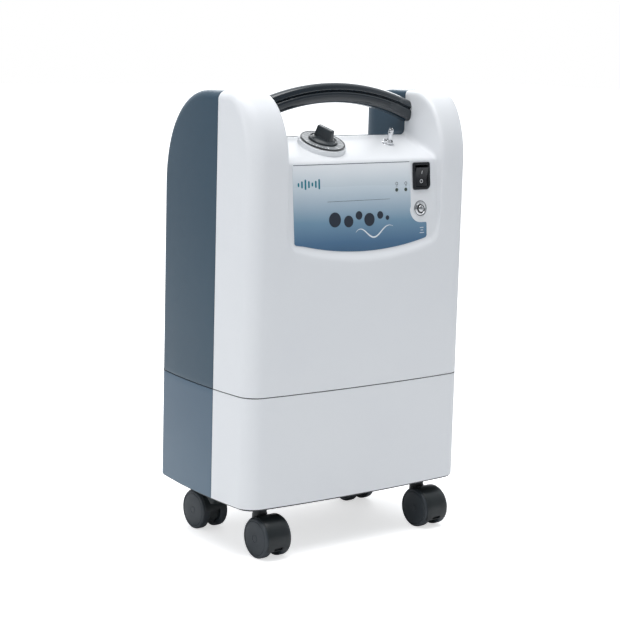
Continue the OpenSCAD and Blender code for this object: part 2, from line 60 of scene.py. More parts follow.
def makeCamera(c):
    forward = Vector((math.sin(c["yaw"]) * math.cos(c["pitch"]), math.cos(c["yaw"]) * math.cos(c["pitch"]),
                      -math.sin(c["pitch"])))
    level = Vector((math.cos(c["yaw"]), -math.sin(c["yaw"]), 0))
    upright = level.cross(forward)
    right = level * math.cos(c["roll"]) + upright * math.sin(c["roll"])
    up = upright * math.cos(c["roll"]) - level * math.sin(c["roll"])
    data = bpy.data.cameras.new("camera")
    data.lens = c["lens"]
    data.sensor_width = 36
    data.shift_y = c["shiftY"]
    data.clip_end = 50
    cam = addObject("camera", data)
    cam.matrix_world = Matrix.Translation(c["at"]) @ Matrix((right, up, -forward)).transposed().to_4x4()
    scene.camera = cam


lights = {
    "overhead": {"at": (-0.3, -0.2, 2.4), "size": (2.2, 1.8), "power": 40, "aim": (0, 0, 0.3)},
    "leftWindow": {"at": (-2.6, 0.1, 1.3), "size": (1.5, 1.8), "power": 12, "aim": (0, 0, 0.4)},
    "rearGloss": {"at": (1.2, 1.6, 1.5), "size": (1.8, 1.2), "power": 16, "aim": (0, 0, 0.55)},
}


def makeLights():
    for name, spec in lights.items():
        data = bpy.data.lights.new(name, "AREA")
        data.shape = "RECTANGLE"
        data.size, data.size_y = spec["size"]
        data.energy = spec["power"]
        lamp = addObject(name, data)
        lamp.location = spec["at"]
        lamp.rotation_euler = (Vector(spec["aim"]) - Vector(spec["at"])).to_track_quat("-Z", "Y").to_euler()
    world = bpy.data.worlds.new("studio")
    scene.world = world
    world.use_nodes = True
    tree = world.node_tree
    back = tree.nodes["Background"]
    back.inputs["Color"].default_value = (0.91, 0.955, 1.0, 1)
    # reflections see a bright wall behind the object and dimmer ones elsewhere
    place = tree.nodes.new("ShaderNodeTexCoord")
    toward = tree.nodes.new("ShaderNodeVectorMath")
    toward.operation = "DOT_PRODUCT"
    toward.inputs[1].default_value = (0.72, 0.62, 0.3)
    tree.links.new(place.outputs["Generated"], toward.inputs[0])
    wall = remap(tree, toward.outputs["Value"], 0.15, 0.85, 0.24, 1.25)
    rays = tree.nodes.new("ShaderNodeLightPath")
    level = tree.nodes.new("ShaderNodeMix")
    level.inputs[3].default_value = 0.45
    tree.links.new(rays.outputs["Is Diffuse Ray"], level.inputs["Factor"])
    tree.links.new(wall.outputs["Result"], level.inputs[2])
    tree.links.new(level.outputs[0], back.inputs["Strength"])
    seen = tree.nodes.new("ShaderNodeBackground")
    seen.inputs["Color"].default_value = (1, 1, 1, 1)
    path = tree.nodes.new("ShaderNodeLightPath")
    mix = tree.nodes.new("ShaderNodeMixShader")
    tree.links.new(path.outputs["Is Camera Ray"], mix.inputs["Fac"])
    tree.links.new(back.outputs[0], mix.inputs[1])
    tree.links.new(seen.outputs[0], mix.inputs[2])
    tree.links.new(mix.outputs[0], tree.nodes["World Output"].inputs["Surface"])
    scene.view_settings.view_transform = "Standard"


def makeFloor():
    mesh = bpy.data.meshes.new("studioFloor")
    reach = 14
    corners = [(-reach, -reach, 0), (reach, -reach, 0), (reach, reach, 0), (-reach, reach, 0)]
    mesh.from_pydata(corners, [], [(0, 1, 2, 3)])
    floor = addObject("studioFloor", mesh)
    paint = bpy.data.materials.new("studioFloor")
    paint.use_nodes = True
    shader = paint.node_tree.nodes["Principled BSDF"]
    shader.inputs["Base Color"].default_value = (0.93, 0.93, 0.935, 1)
    shader.inputs["Roughness"].default_value = 0.75
    shader.inputs["Specular IOR Level"].default_value = 0.2
    # painted light: a glow seen only by the camera, 0.6 beside the object rising to 1.0 from 1.8 m out, so the far
    # floor reads white where the lamps fall off
    place = paint.node_tree.nodes.new("ShaderNodeTexCoord")
    span = addNode(paint.node_tree, "VectorMath", [(place.outputs["Object"], 0)], operation="LENGTH")
    far = remap(paint.node_tree, span.outputs["Value"], 0.2, 1.8, 0.60, 1.0)
    seen = paint.node_tree.nodes.new("ShaderNodeLightPath")
    glow = addNode(paint.node_tree, "Math", [(far.outputs["Result"], 0), (seen.outputs["Is Camera Ray"], 1)],
                   operation="MULTIPLY")
    shader.inputs["Emission Color"].default_value = (1, 1, 1, 1)
    paint.node_tree.links.new(glow.outputs[0], shader.inputs["Emission Strength"])
    mesh.materials.append(paint)


def newGroup(name, inputs, outputs):
    group = bpy.data.node_groups.new(name, "ShaderNodeTree")
    for label, kind, value in inputs:
        socket = group.interface.new_socket(label, in_out="INPUT", socket_type=kind)
        if value is not None:
            socket.default_value = value
    for label, kind in outputs:
        group.interface.new_socket(label, in_out="OUTPUT", socket_type=kind)
    return group, group.nodes.new("NodeGroupInput"), group.nodes.new("NodeGroupOutput")


nodeChoices = ("operation", "blend_type", "data_type", "noise_dimensions", "wave_type", "bands_direction", "feature")


def addNode(tree, kind, links=(), **values):
    # kind without its prefix; values set sockets by name, links join (output, input name).
    node = tree.nodes.new("ShaderNode" + kind)
    for key, value in values.items():
        if key in nodeChoices:
            setattr(node, key, value)
        else:
            node.inputs[key.replace("_", " ")].default_value = value
    for source, target in links:
        tree.links.new(source, node.inputs[target])
    return node


def blendColors(tree, share, first, second):
    # the second colour over the first; either is a socket or a plain colour
    mix = tree.nodes.new("ShaderNodeMix")
    mix.data_type = "RGBA"
    tree.links.new(share, mix.inputs["Factor"])
    for index, color in ((6, first), (7, second)):
        if isinstance(color, tuple):
            mix.inputs[index].default_value = rgba(color)
        else:
            tree.links.new(color, mix.inputs[index])
    return mix.outputs[2]


def remap(tree, source, low, high, toLow=0.0, toHigh=1.0):
    node = addNode(tree, "MapRange", [(source, "Value")])
    for socket, value in (("From Min", low), ("From Max", high), ("To Min", toLow), ("To Max", toHigh)):
        node.inputs[socket].default_value = value
    return node


def surfaceNode(tree, group, place, **values):
    # a shared surface group, read in the piece's own coordinates
    node = tree.nodes.new("ShaderNodeGroup")
    node.node_tree = group
    tree.links.new(place.outputs["Object"], node.inputs["Vector"])
    for key, value in values.items():
        node.inputs[key.replace("_", " ")].default_value = value
    return node


def rgba(color):
    return (color[0], color[1], color[2], 1)


def mouldedGroup():
    # fine spark texture, faint flow marks and handling smudges of a moulded part
    group, gin, gout = newGroup("mouldedSurface", [
        ("Vector", "NodeSocketVector", None), ("Color", "NodeSocketColor", (0.5, 0.5, 0.5, 1)),
        ("Flow Color", "NodeSocketColor", (0.4, 0.4, 0.4, 1)), ("Grain Scale", "NodeSocketFloat", 1400.0),
        ("Roughness", "NodeSocketFloat", 0.4), ("Smudge", "NodeSocketFloat", 0.08),
    ], [("Color", "NodeSocketColor"), ("Roughness", "NodeSocketFloat"), ("Height", "NodeSocketFloat")])
    flow = addNode(group, "TexNoise", [(gin.outputs["Vector"], "Vector")], Scale=7.0, Detail=3.0, Distortion=0.6)
    spread = remap(group, flow.outputs["Fac"], 0.35, 0.7)
    tint = blendColors(group, spread.outputs["Result"], gin.outputs["Color"], gin.outputs["Flow Color"])
    smear = addNode(group, "TexNoise", [(gin.outputs["Vector"], "Vector")], Scale=38.0, Detail=4.0, Distortion=1.2)
    centred = addNode(group, "Math", [(smear.outputs["Fac"], 0)], operation="SUBTRACT")
    centred.inputs[1].default_value = 0.5
    scaled = addNode(group, "Math", [(centred.outputs[0], 0), (gin.outputs["Smudge"], 1)], operation="MULTIPLY")
    rough = addNode(group, "Math", [(scaled.outputs[0], 0), (gin.outputs["Roughness"], 1)], operation="ADD")
    grain = addNode(group, "TexNoise", [(gin.outputs["Vector"], "Vector"), (gin.outputs["Grain Scale"], "Scale")],
                    Detail=2.0)
    group.links.new(tint, gout.inputs["Color"])
    group.links.new(rough.outputs[0], gout.inputs["Roughness"])
    group.links.new(grain.outputs["Fac"], gout.inputs["Height"])
    return group


def edgeGroup():
    # edges that hands and door frames rub, as a mask from the mesh's own curvature; the same mask lays a painted
    # highlight along convex edges
    group, gin, gout = newGroup("rubbedAndHighlitEdges", [
        ("Vector", "NodeSocketVector", None), ("Start", "NodeSocketFloat", 0.52), ("End", "NodeSocketFloat", 0.6),
    ], [("Mask", "NodeSocketFloat")])
    shape = group.nodes.new("ShaderNodeNewGeometry")
    edge = addNode(group, "MapRange", [(shape.outputs["Pointiness"], "Value"), (gin.outputs["Start"], "From Min"),
                                       (gin.outputs["End"], "From Max")])
    patch = addNode(group, "TexNoise", [(gin.outputs["Vector"], "Vector")], Scale=90.0, Detail=5.0)
    broken = remap(group, patch.outputs["Fac"], 0.4, 0.65)
    mask = addNode(group, "Math", [(edge.outputs[0], 0), (broken.outputs[0], 1)], operation="MULTIPLY")
    group.links.new(mask.outputs[0], gout.inputs["Mask"])
    return group


def brushedGroup():
    # drawn or turned metal: long fine scratches along one axis
    group, gin, gout = newGroup("brushedMetal", [
        ("Vector", "NodeSocketVector", None), ("Color", "NodeSocketColor", (0.6, 0.6, 0.6, 1)),
        ("Dark", "NodeSocketColor", (0.5, 0.5, 0.5, 1)), ("Roughness", "NodeSocketFloat", 0.3),
        ("Stretch", "NodeSocketVector", (60.0, 60.0, 2500.0)),
    ], [("Color", "NodeSocketColor"), ("Roughness", "NodeSocketFloat"), ("Height", "NodeSocketFloat")])
    pull = addNode(group, "VectorMath", [(gin.outputs["Vector"], 0), (gin.outputs["Stretch"], 1)], operation="MULTIPLY")
    lines = addNode(group, "TexNoise", [(pull.outputs[0], "Vector")], Scale=1.0, Detail=3.0)
    tint = blendColors(group, lines.outputs["Fac"], gin.outputs["Color"], gin.outputs["Dark"])
    rough = addNode(group, "Math", [(lines.outputs["Fac"], 0), (gin.outputs["Roughness"], 2)],
                    operation="MULTIPLY_ADD")
    rough.inputs[1].default_value = 0.16
    group.links.new(tint, gout.inputs["Color"])
    group.links.new(rough.outputs[0], gout.inputs["Roughness"])
    group.links.new(lines.outputs["Fac"], gout.inputs["Height"])
    return group


mouldedSurface = mouldedGroup()
rubbedAndHighlitEdges = edgeGroup()
brushedMetal = brushedGroup()


def startMaterial(name):
    material = bpy.data.materials.new(name)
    material.use_nodes = True
    tree = material.node_tree
    return material, tree, tree.nodes["Principled BSDF"], tree.nodes.new("ShaderNodeTexCoord")


def addBump(tree, shader, height, strength, distance):
    bump = tree.nodes.new("ShaderNodeBump")
    bump.inputs["Strength"].default_value = strength
    bump.inputs["Distance"].default_value = distance
    tree.links.new(height, bump.inputs["Height"])
    tree.links.new(bump.outputs["Normal"], shader.inputs["Normal"])


def plastic(name, color, flow, rough=0.4, smudge=0.08, grain=1400, bump=0.12, edgeWearAndHighlight=None, coat=0.0, rise=None):
    # A moulded plastic. The edge colour tints rubbed edges and also paints a highlight along convex edges; rise blends
    # to a colour between two heights, a painted shading gradient.
    material, tree, shader, place = startMaterial(name)
    body = surfaceNode(tree, mouldedSurface, place, Color=rgba(color), Flow_Color=rgba(flow), Grain_Scale=grain,
                       Roughness=rough, Smudge=smudge)
    shade = body.outputs["Color"]
    # painted shading: the colour shifts to another one between two heights
    if rise:
        split = addNode(tree, "SeparateXYZ", [(place.outputs["Object"], "Vector")])
        level = remap(tree, split.outputs["Z"], rise["from"], rise["to"])
        level.interpolation_type = "SMOOTHSTEP"
        shade = blendColors(tree, level.outputs["Result"], shade, rise["color"])
    # rubbed wear and a painted highlight: convex edges blend to a lighter colour
    if edgeWearAndHighlight:
        edges = surfaceNode(tree, rubbedAndHighlitEdges, place)
        shade = blendColors(tree, edges.outputs["Mask"], shade, edgeWearAndHighlight)
    tree.links.new(shade, shader.inputs["Base Color"])
    tree.links.new(body.outputs["Roughness"], shader.inputs["Roughness"])
    shader.inputs["Coat Weight"].default_value = coat
    shader.inputs["Coat Roughness"].default_value = 0.12
    addBump(tree, shader, body.outputs["Height"], bump, 0.0002)
    return material


def metal(name, color, dark, rough=0.25, stretch=(60, 60, 2500), bump=0.05):
    material, tree, shader, place = startMaterial(name)
    body = surfaceNode(tree, brushedMetal, place, Color=rgba(color), Dark=rgba(dark), Roughness=rough,
                       Stretch=stretch)
    shader.inputs["Metallic"].default_value = 1
    tree.links.new(body.outputs["Color"], shader.inputs["Base Color"])
    tree.links.new(body.outputs["Roughness"], shader.inputs["Roughness"])
    addBump(tree, shader, body.outputs["Height"], bump, 0.0001)
    return material


makeCamera(cameraPlace)
makeLights()
makeFloor()
print("camera, lights and floor made")
whiteShell = plastic("whiteShell", (0.80, 0.815, 0.835), (0.785, 0.80, 0.825), rough=0.36, smudge=0.07, bump=0.10)
# painted shading on the slate covers: the upper cover darker towards the top, the lower cover lighter at the bottom as
# painted light thrown up from the floor
slateShell = plastic("slateShell", (0.042, 0.083, 0.120), (0.038, 0.076, 0.112), rough=0.40, smudge=0.08, bump=0.14,
                     rise={"from": 0.24, "to": 0.5, "color": (0.035, 0.072, 0.108)})
slateLower = plastic("slateLower", (0.114, 0.172, 0.230), (0.107, 0.163, 0.220), rough=0.42, smudge=0.07, bump=0.14,
                     rise={"from": 0.06, "to": 0.2, "color": (0.087, 0.139, 0.195)})
# edge colours lighter than their bodies: rubbed wear mixed with a painted edge highlight
handleSkin = plastic("handleSkin", (0.007, 0.013, 0.019), (0.009, 0.016, 0.023), rough=0.14, smudge=0.05, grain=1800,
                     bump=0.04, edgeWearAndHighlight=(0.014, 0.022, 0.030), coat=0.7)
blackGloss = plastic("blackGloss", (0.010, 0.011, 0.013), (0.014, 0.015, 0.018), rough=0.24, edgeWearAndHighlight=(0.04, 0.042, 0.046))
knobSkin = plastic("knobSkin", (0.020, 0.026, 0.030), (0.026, 0.033, 0.038), rough=0.34, edgeWearAndHighlight=(0.11, 0.125, 0.135))
dialBlack = plastic("dialBlack", (0.014, 0.017, 0.021), (0.020, 0.024, 0.028), rough=0.33)
dialGrey = plastic("dialGrey", (0.26, 0.275, 0.285), (0.29, 0.305, 0.315), rough=0.38)
dialWhite = plastic("dialWhite", (0.78, 0.79, 0.80), (0.72, 0.73, 0.74), rough=0.45)
casterSkin = plastic("casterSkin", (0.012, 0.016, 0.018), (0.016, 0.021, 0.023), rough=0.38, grain=1000, bump=0.25,
                     edgeWearAndHighlight=(0.075, 0.085, 0.09))
wheelSkin = plastic("wheelSkin", (0.026, 0.034, 0.042), (0.032, 0.041, 0.049), rough=0.46, grain=900, bump=0.3,
                    edgeWearAndHighlight=(0.09, 0.10, 0.11))
gasketSkin = plastic("gasketSkin", (0.016, 0.018, 0.020), (0.022, 0.024, 0.027), rough=0.75, grain=700, bump=0.3)
frameSkin = plastic("frameSkin", (0.045, 0.075, 0.102), (0.055, 0.088, 0.118), rough=0.42, edgeWearAndHighlight=(0.13, 0.17, 0.2))
chassisPaint = plastic("chassisPaint", (0.045, 0.048, 0.052), (0.06, 0.063, 0.068), rough=0.55, grain=500, bump=0.3)
filterWhite = plastic("filterWhite", (0.75, 0.77, 0.79), (0.7, 0.72, 0.75), rough=0.4)
boardGreen = plastic("boardGreen", (0.015, 0.11, 0.045), (0.02, 0.14, 0.06), rough=0.3, grain=400, bump=0.2)
ironCast = plastic("ironCast", (0.09, 0.095, 0.10), (0.13, 0.135, 0.14), rough=0.6, grain=350, bump=0.5)
hoseSkin = plastic("hoseSkin", (0.5, 0.55, 0.57), (0.45, 0.5, 0.52), rough=0.35)
chrome = metal("chrome", (0.80, 0.81, 0.83), (0.70, 0.71, 0.73), rough=0.06)
steel = metal("steel", (0.58, 0.59, 0.61), (0.46, 0.47, 0.49), rough=0.26)
aluminium = metal("aluminium", (0.66, 0.67, 0.69), (0.54, 0.55, 0.57), rough=0.34)
brass = metal("brass", (0.62, 0.46, 0.20), (0.5, 0.36, 0.15), rough=0.28)
copper = metal("copper", (0.70, 0.38, 0.24), (0.55, 0.28, 0.17), rough=0.32)
print("materials made")


def linkMesh(name, verts, faces, material, smooth=True):
    mesh = bpy.data.meshes.new(name)
    mesh.from_pydata([tuple(v) for v in verts], [], [tuple(f) for f in faces])
    mesh.materials.append(material)
    if smooth:
        mesh.shade_smooth()
    return addObject(name, mesh)


def bakeModifiers(obj):
    # turns the evaluated object into a plain mesh, so nothing live is left on the piece
    data = bpy.data.meshes.new_from_object(obj.evaluated_get(bpy.context.evaluated_depsgraph_get()))
    obj.modifiers.clear()
    obj.data = data
    return obj


def roundEdges(obj, width, segments=3, angle=35):
    bevel = obj.modifiers.new("roundEdges", "BEVEL")
    bevel.width = width
    bevel.segments = segments
    bevel.limit_method = "ANGLE"
    bevel.angle_limit = math.radians(angle)
    bevel.harden_normals = False
    bakeModifiers(obj)
    obj.data.set_sharp_from_angle(angle=math.radians(50))
    return obj


def tidyMesh(obj, slivers=False):
    # merges doubles and turns the faces outwards
    bm = bmesh.new()
    bm.from_mesh(obj.data)
    bmesh.ops.remove_doubles(bm, verts=bm.verts, dist=1e-6)
    if slivers:
        bmesh.ops.dissolve_degenerate(bm, dist=1e-7, edges=bm.edges)
    bmesh.ops.recalc_face_normals(bm, faces=bm.faces)
    bm.to_mesh(obj.data)
    bm.free()
    return obj


def mergeObjects(name, parts):
    # joins finished parts into one piece, keeping each part's material
    mesh = bpy.data.meshes.new(name)
    bm = bmesh.new()
    materials = []
    for part in parts:
        first = len(bm.faces)
        bm.from_mesh(part.data)
        bm.faces.ensure_lookup_table()
        slots = []
        for m in part.data.materials:
            if m not in materials:
                materials.append(m)
            slots.append(materials.index(m))
        for face in bm.faces[first:]:
            face.material_index = slots[min(face.material_index, len(slots) - 1)]
        bpy.data.objects.remove(part)
    bm.to_mesh(mesh)
    bm.free()
    for m in materials:
        mesh.materials.append(m)
    return addObject(name, mesh)


def placed(points, origin, xAxis, yAxis, zAxis):
    # Local (x, y, z) in millimetres to the row frame in metres.
    points = np.asarray(points, float)
    base = np.array([xAxis, yAxis, zAxis], float)
    return (np.array(origin, float) + points @ base) * mm


def revolve(name, profile, place, material, steps=64, start=0.0, sweep=360.0):
    # Turns a closed (radius, height) profile, in millimetres, about the local z axis of place.
    full = sweep >= 360
    rings = steps if full else steps + 1
    profile = np.asarray(profile, float)
    count = len(profile)
    angles = np.radians(start + sweep * np.arange(rings) / steps)
    verts = np.stack([np.outer(np.cos(angles), profile[:, 0]), np.outer(np.sin(angles), profile[:, 0]),
                      np.tile(profile[:, 1], (rings, 1))], -1).reshape(-1, 3)
    faces = []
    for i in range(steps):
        a, b = i * count, ((i + 1) % rings) * count
        for j in range(count):
            k = (j + 1) % count
            faces.append((a + j, b + j, b + k, a + k))
    if not full:
        faces.append(tuple(range(count - 1, -1, -1)))
        faces.append(tuple((rings - 1) * count + j for j in range(count)))
    obj = tidyMesh(linkMesh(name, placed(verts, *place), faces, material), slivers=True)
    obj.data.set_sharp_from_angle(angle=math.radians(38))
    return obj


def slab(name, outline, low, high, place, material, holes=()):
    # A plate: a closed (x, y) outline in millimetres between two local heights, with round or square holes.
    bm = bmesh.new()
    edges = []
    for loop in [outline, *holes]:
        loop = [p for i, p in enumerate(loop) if math.dist(p, loop[i - 1]) > 0.004]
        ring = [bm.verts.new(p) for p in placed([(x, y, low) for x, y in loop], *place)]
        edges += [bm.edges.new((ring[i], ring[(i + 1) % len(ring)])) for i in range(len(ring))]
    filled = bmesh.ops.triangle_fill(bm, use_beauty=True, use_dissolve=False, edges=edges)
    faces = [f for f in filled["geom"] if isinstance(f, bmesh.types.BMFace)]
    axis = Vector(np.array(place[3], float))
    grown = bmesh.ops.extrude_face_region(bm, geom=faces)
    moved = [v for v in grown["geom"] if isinstance(v, bmesh.types.BMVert)]
    bmesh.ops.translate(bm, verts=moved, vec=axis * ((high - low) * mm))
    bmesh.ops.recalc_face_normals(bm, faces=bm.faces)
    mesh = bpy.data.meshes.new(name)
    bm.to_mesh(mesh)
    bm.free()
    mesh.materials.append(material)
    return addObject(name, mesh)


def arcPoints(cx, cy, radius, start, end, steps):
    turn = np.radians(np.linspace(start, end, steps + 1))
    return [(cx + radius * math.cos(t), cy + radius * math.sin(t)) for t in turn]


def roundedBox(w, h, corner, steps=6):
    x, y = w / 2 - corner, h / 2 - corner
    return (arcPoints(x, y, corner, 0, 90, steps) + arcPoints(-x, y, corner, 90, 180, steps)
            + arcPoints(-x, -y, corner, 180, 270, steps) + arcPoints(x, -y, corner, 270, 360, steps))


def finishPiece(obj, body, slotName, *replaced):
    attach(obj, body)
    if replaced:
        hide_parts(*replaced)
    return obj


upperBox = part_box("front_cover_upper")
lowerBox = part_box("front_cover_lower")
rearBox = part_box("rear_cover_upper")
cabinet = {
    "halfWidth": upperBox[1][0] / mm, "front": upperBox[0][1] / mm, "rear": rearBox[1][1] / mm,
    "seamY": (upperBox[1][1] + rearBox[0][1]) / 2 / mm, "seamZ": (upperBox[0][2] + lowerBox[1][2]) / 2 / mm,
    "bottom": lowerBox[0][2] / mm, "top": upperBox[1][2] / mm,
    "sideCrown": 8, "frontCrown": 8, "crestFront": -50, "crestRear": -2, "springFront": 500, "springRear": 470,
    "gap": 0.55, "lip": 0.8, "wall": 2.6,
}
valley = {
    "half": 124, "flareRadius": 45, "flareStart": 30, "flareTurn": 52, "flareEnd": 90, "farHalf": 164,
    "footZ": 376, "footRadius": 400, "rimRun": 9, "rimDepth": 15, "wallFillet": 7, "footFillet": 1.6,
    "cornerRound": 13, "edgeRound": 5.5, "footEdge": 1.8,
    # side view of shelf and control panel, rear edge to foot
    "line": [(150, 395), (125, 425), (104, 461), (70, 496), (20, 519.5), (-6, 526.3), (-20, 529.2), (-31, 530.0),
             (-45, 524.4), (-62, 517.9), (-80, 511.0), (-90, 506.9), (-95.6, 503.4), (-97.85, 499.8), (-98.35, 494),
             (-100.2, 473), (-103, 441), (-107.7, 387), (-112, 338)],
}


def smoothCurve(points, steps):
    # Catmull-Rom through the points
    p = np.array([points[0]] + list(points) + [points[-1]], float)
    t = np.linspace(0, 1, steps, endpoint=False)[:, None]
    out = []
    for i in range(1, len(p) - 2):
        a, b, c, d = p[i - 1:i + 3]
        square, cube = 2 * a - 5 * b + 4 * c - d, 3 * b - a - 3 * c + d
        out.append(0.5 * (2 * b + (c - a) * t + square * t ** 2 + cube * t ** 3))
    return np.vstack(out + [p[-1:]])


shelfCurve = smoothCurve(valley["line"], 5)


def curveDistance(y, z):
    # Signed distance to the shelf curve, positive on the material side.
    best = np.full(y.shape, 1e9)
    sign = np.ones(y.shape)
    for (y0, z0), (y1, z1) in zip(shelfCurve[:-1], shelfCurve[1:]):
        dy, dz = y1 - y0, z1 - z0
        t = np.clip(((y - y0) * dy + (z - z0) * dz) / (dy * dy + dz * dz), 0, 1)
        gap = np.hypot(y - y0 - t * dy, z - z0 - t * dz)
        nearer = gap < best
        best = np.where(nearer, gap, best)
        sign = np.where(nearer, np.sign(dy * (z - z0) - dz * (y - y0)), sign)
    return best * sign


def roundMax(a, b, radius):
    u, v = np.maximum(a + radius, 0), np.maximum(b + radius, 0)
    return np.minimum(np.maximum(a, b), -radius) + np.sqrt(u * u + v * v)


def ease(x, low, high):
    t = np.clip((x - low) / (high - low), 0, 1)
    return t * t * (3 - 2 * t)


def quarterEllipse(u, v, a, b):
    q = np.sqrt((u / a) ** 2 + (v / b) ** 2) + 1e-9
    slope = np.sqrt((u / a ** 2) ** 2 + (v / b ** 2) ** 2) / q + 1e-9
    return (q - 1) / slope


def cabinetField(x, y, z, shelf=None):
    # Negative inside the closed cabinet form, in millimetres.
    c, v = cabinet, valley
    across = np.abs(x)
    crown = c["frontCrown"] * (x / c["halfWidth"]) ** 2
    deep = c["crestFront"] - c["front"] - crown
    front = np.where(z > c["springFront"],
                     quarterEllipse(c["crestFront"] - y, z - c["springFront"], deep, c["top"] - c["springFront"]),
                     c["crestFront"] - deep - y)
    long = c["rear"] - c["crestRear"]
    rear = np.where(z > c["springRear"],
                    quarterEllipse(y - c["crestRear"], z - c["springRear"], long, c["top"] - c["springRear"]),
                    y - c["rear"])
    profile = np.where(y < c["crestFront"], front, np.where(y > c["crestRear"], rear, z - c["top"]))
    side = across - (c["halfWidth"] - c["sideCrown"] * ((y - c["seamY"]) / c["rear"]) ** 2)
    corner = 21 - 10 * ease(y, -100, -58) + 5 * ease(y, 20, 110)
    form = roundMax(profile, side, corner)
    bend = v["flareRadius"] * math.sin(math.radians(v["flareTurn"]))
    t = np.clip(y - v["flareStart"], 0, bend)
    half = v["half"] + v["flareRadius"] - np.sqrt(v["flareRadius"] ** 2 - t ** 2)
    beyond = np.clip((y - v["flareStart"] - bend) / (v["flareEnd"] - v["flareStart"] - bend), 0, 1)
    half = half + beyond * (v["farHalf"] - v["half"] - v["flareRadius"] * (1 - math.cos(math.radians(v["flareTurn"]))))
    faceY = c["front"] + crown
    reach = math.hypot(1, v["rimRun"] / 7.5)
    deepEnough = np.minimum(y - faceY, v["rimDepth"])
    foot = (np.hypot(x, z - v["footZ"] - v["footRadius"]) - v["footRadius"] + deepEnough * v["rimRun"] / 7.5) / reach
    shelf = curveDistance(y, z) if shelf is None else shelf
    fillet = v["footFillet"] + (v["wallFillet"] - v["footFillet"]) * ease(z, 470, 522)
    hollow = roundMax(roundMax(across - half, foot, v["cornerRound"]), shelf, fillet)
    edge = v["footEdge"] + (v["edgeRound"] - v["footEdge"]) * ease(z, 430, 520)
    return roundMax(form, -hollow, edge)


def gridLines(spans):
    # spans are (start, end, spacing); the lines run through them in order.
    out = []
    for low, high, step in spans:
        out += list(np.linspace(low, high, max(1, round((high - low) / step)), endpoint=False))
    return np.array(out + [spans[-1][1]])


def surfaceNet(field, xs, ys, zs):
    # Quads on the field's zero surface over an uneven grid, pulled exactly onto the surface.
    gy, gz = np.meshgrid(ys, zs, indexing="ij")
    shelf = curveDistance(gy, gz)[None]
    f = field(xs[:, None, None], ys[None, :, None], zs[None, None, :], shelf)
    f = np.broadcast_to(f, (len(xs), len(ys), len(zs)))
    cells = (len(xs) - 1, len(ys) - 1, len(zs) - 1)
    total = np.zeros(cells + (3,))
    count = np.zeros(cells)
    lines = (xs, ys, zs)
    quads = []
    for axis in range(3):
        lo = [slice(None)] * 3
        hi = [slice(None)] * 3
        lo[axis], hi[axis] = slice(0, -1), slice(1, None)
        a, b = f[tuple(lo)], f[tuple(hi)]
        i, j, k = np.nonzero((a < 0) != (b < 0))
        idx = np.stack([i, j, k], 1)
        fa, fb = a[i, j, k], b[i, j, k]
        t = fa / (fa - fb)
        point = np.stack([lines[n][idx[:, n]] for n in range(3)], 1).astype(float)
        line = lines[axis]
        point[:, axis] += t * (line[idx[:, axis] + 1] - line[idx[:, axis]])
        o1, o2 = (axis + 1) % 3, (axis + 2) % 3
        around = []
        for s1, s2 in ((-1, -1), (0, -1), (0, 0), (-1, 0)):
            cell = idx.copy()
            cell[:, o1] += s1
            cell[:, o2] += s2
            around.append(cell)
        ok = np.ones(len(idx), bool)
        for cell in around:
            ok &= (cell[:, o1] >= 0) & (cell[:, o2] >= 0) & (cell[:, o1] < cells[o1]) & (cell[:, o2] < cells[o2])
        flat = []
        for cell in around:
            good = cell[ok]
            np.add.at(total, (good[:, 0], good[:, 1], good[:, 2]), point[ok])
            np.add.at(count, (good[:, 0], good[:, 1], good[:, 2]), 1)
            flat.append(np.ravel_multi_index(good.T, cells))
        quad = np.stack(flat, 1)
        outward = fa[ok] < 0
        quad[~outward] = quad[~outward][:, ::-1]
        quads.append(quad)
    quads = np.vstack(quads)
    used, faces = np.unique(quads, return_inverse=True)
    faces = faces.reshape(quads.shape)
    verts = total.reshape(-1, 3)[used] / count.reshape(-1)[used][:, None]
    step = 0.05
    for _ in range(4):
        value = field(verts[:, 0], verts[:, 1], verts[:, 2])
        slope = np.empty_like(verts)
        for n in range(3):
            moved = verts.copy()
            moved[:, n] += step
            slope[:, n] = (field(moved[:, 0], moved[:, 1], moved[:, 2]) - value) / step
        size = np.maximum((slope ** 2).sum(1), 0.2)
        verts -= np.clip(value / size, -1.5, 1.5)[:, None] * slope
    return verts, faces


# local frames: the panel leans back, the dial tilts forwards, the rear face looks along +Y
panelLine = {"topY": -98.0, "topZ": 498.0, "footY": -107.7, "footZ": 387.0}
panelLean = math.atan2(panelLine["topY"] - panelLine["footY"], panelLine["topZ"] - panelLine["footZ"])


def panelPlace(x, z):
    run = (panelLine["topZ"] - z) / (panelLine["topZ"] - panelLine["footZ"])
    y = panelLine["topY"] + run * (panelLine["footY"] - panelLine["topY"])
    return ((x, y, z), (1, 0, 0), (0, math.sin(panelLean), math.cos(panelLean)),
            (0, -math.cos(panelLean), math.sin(panelLean)))


def tiltedPlace(at, tilt, turn=0.0):
    t = math.radians(tilt)
    u = math.radians(turn)
    x, y = np.array((1, 0, 0.0)), np.array((0, math.cos(t), math.sin(t)))
    return (at, tuple(x * math.cos(u) + y * math.sin(u)), tuple(y * math.cos(u) - x * math.sin(u)),
            (0, -math.sin(t), math.cos(t)))


def rearPlace(x, z):
    return ((x, cabinet["rear"], z), (-1, 0, 0), (0, 0, 1), (0, 1, 0))


switchAt, breakerAt = (97.8, 480.0), (95.3, 437.3)
lampsAt = [(55.8, 463.3), (71.2, 463.3)]
inletAt, ventAt, meterAt, filterAt = (-112, 112), (62, 118), (112, 300), (0, 360)


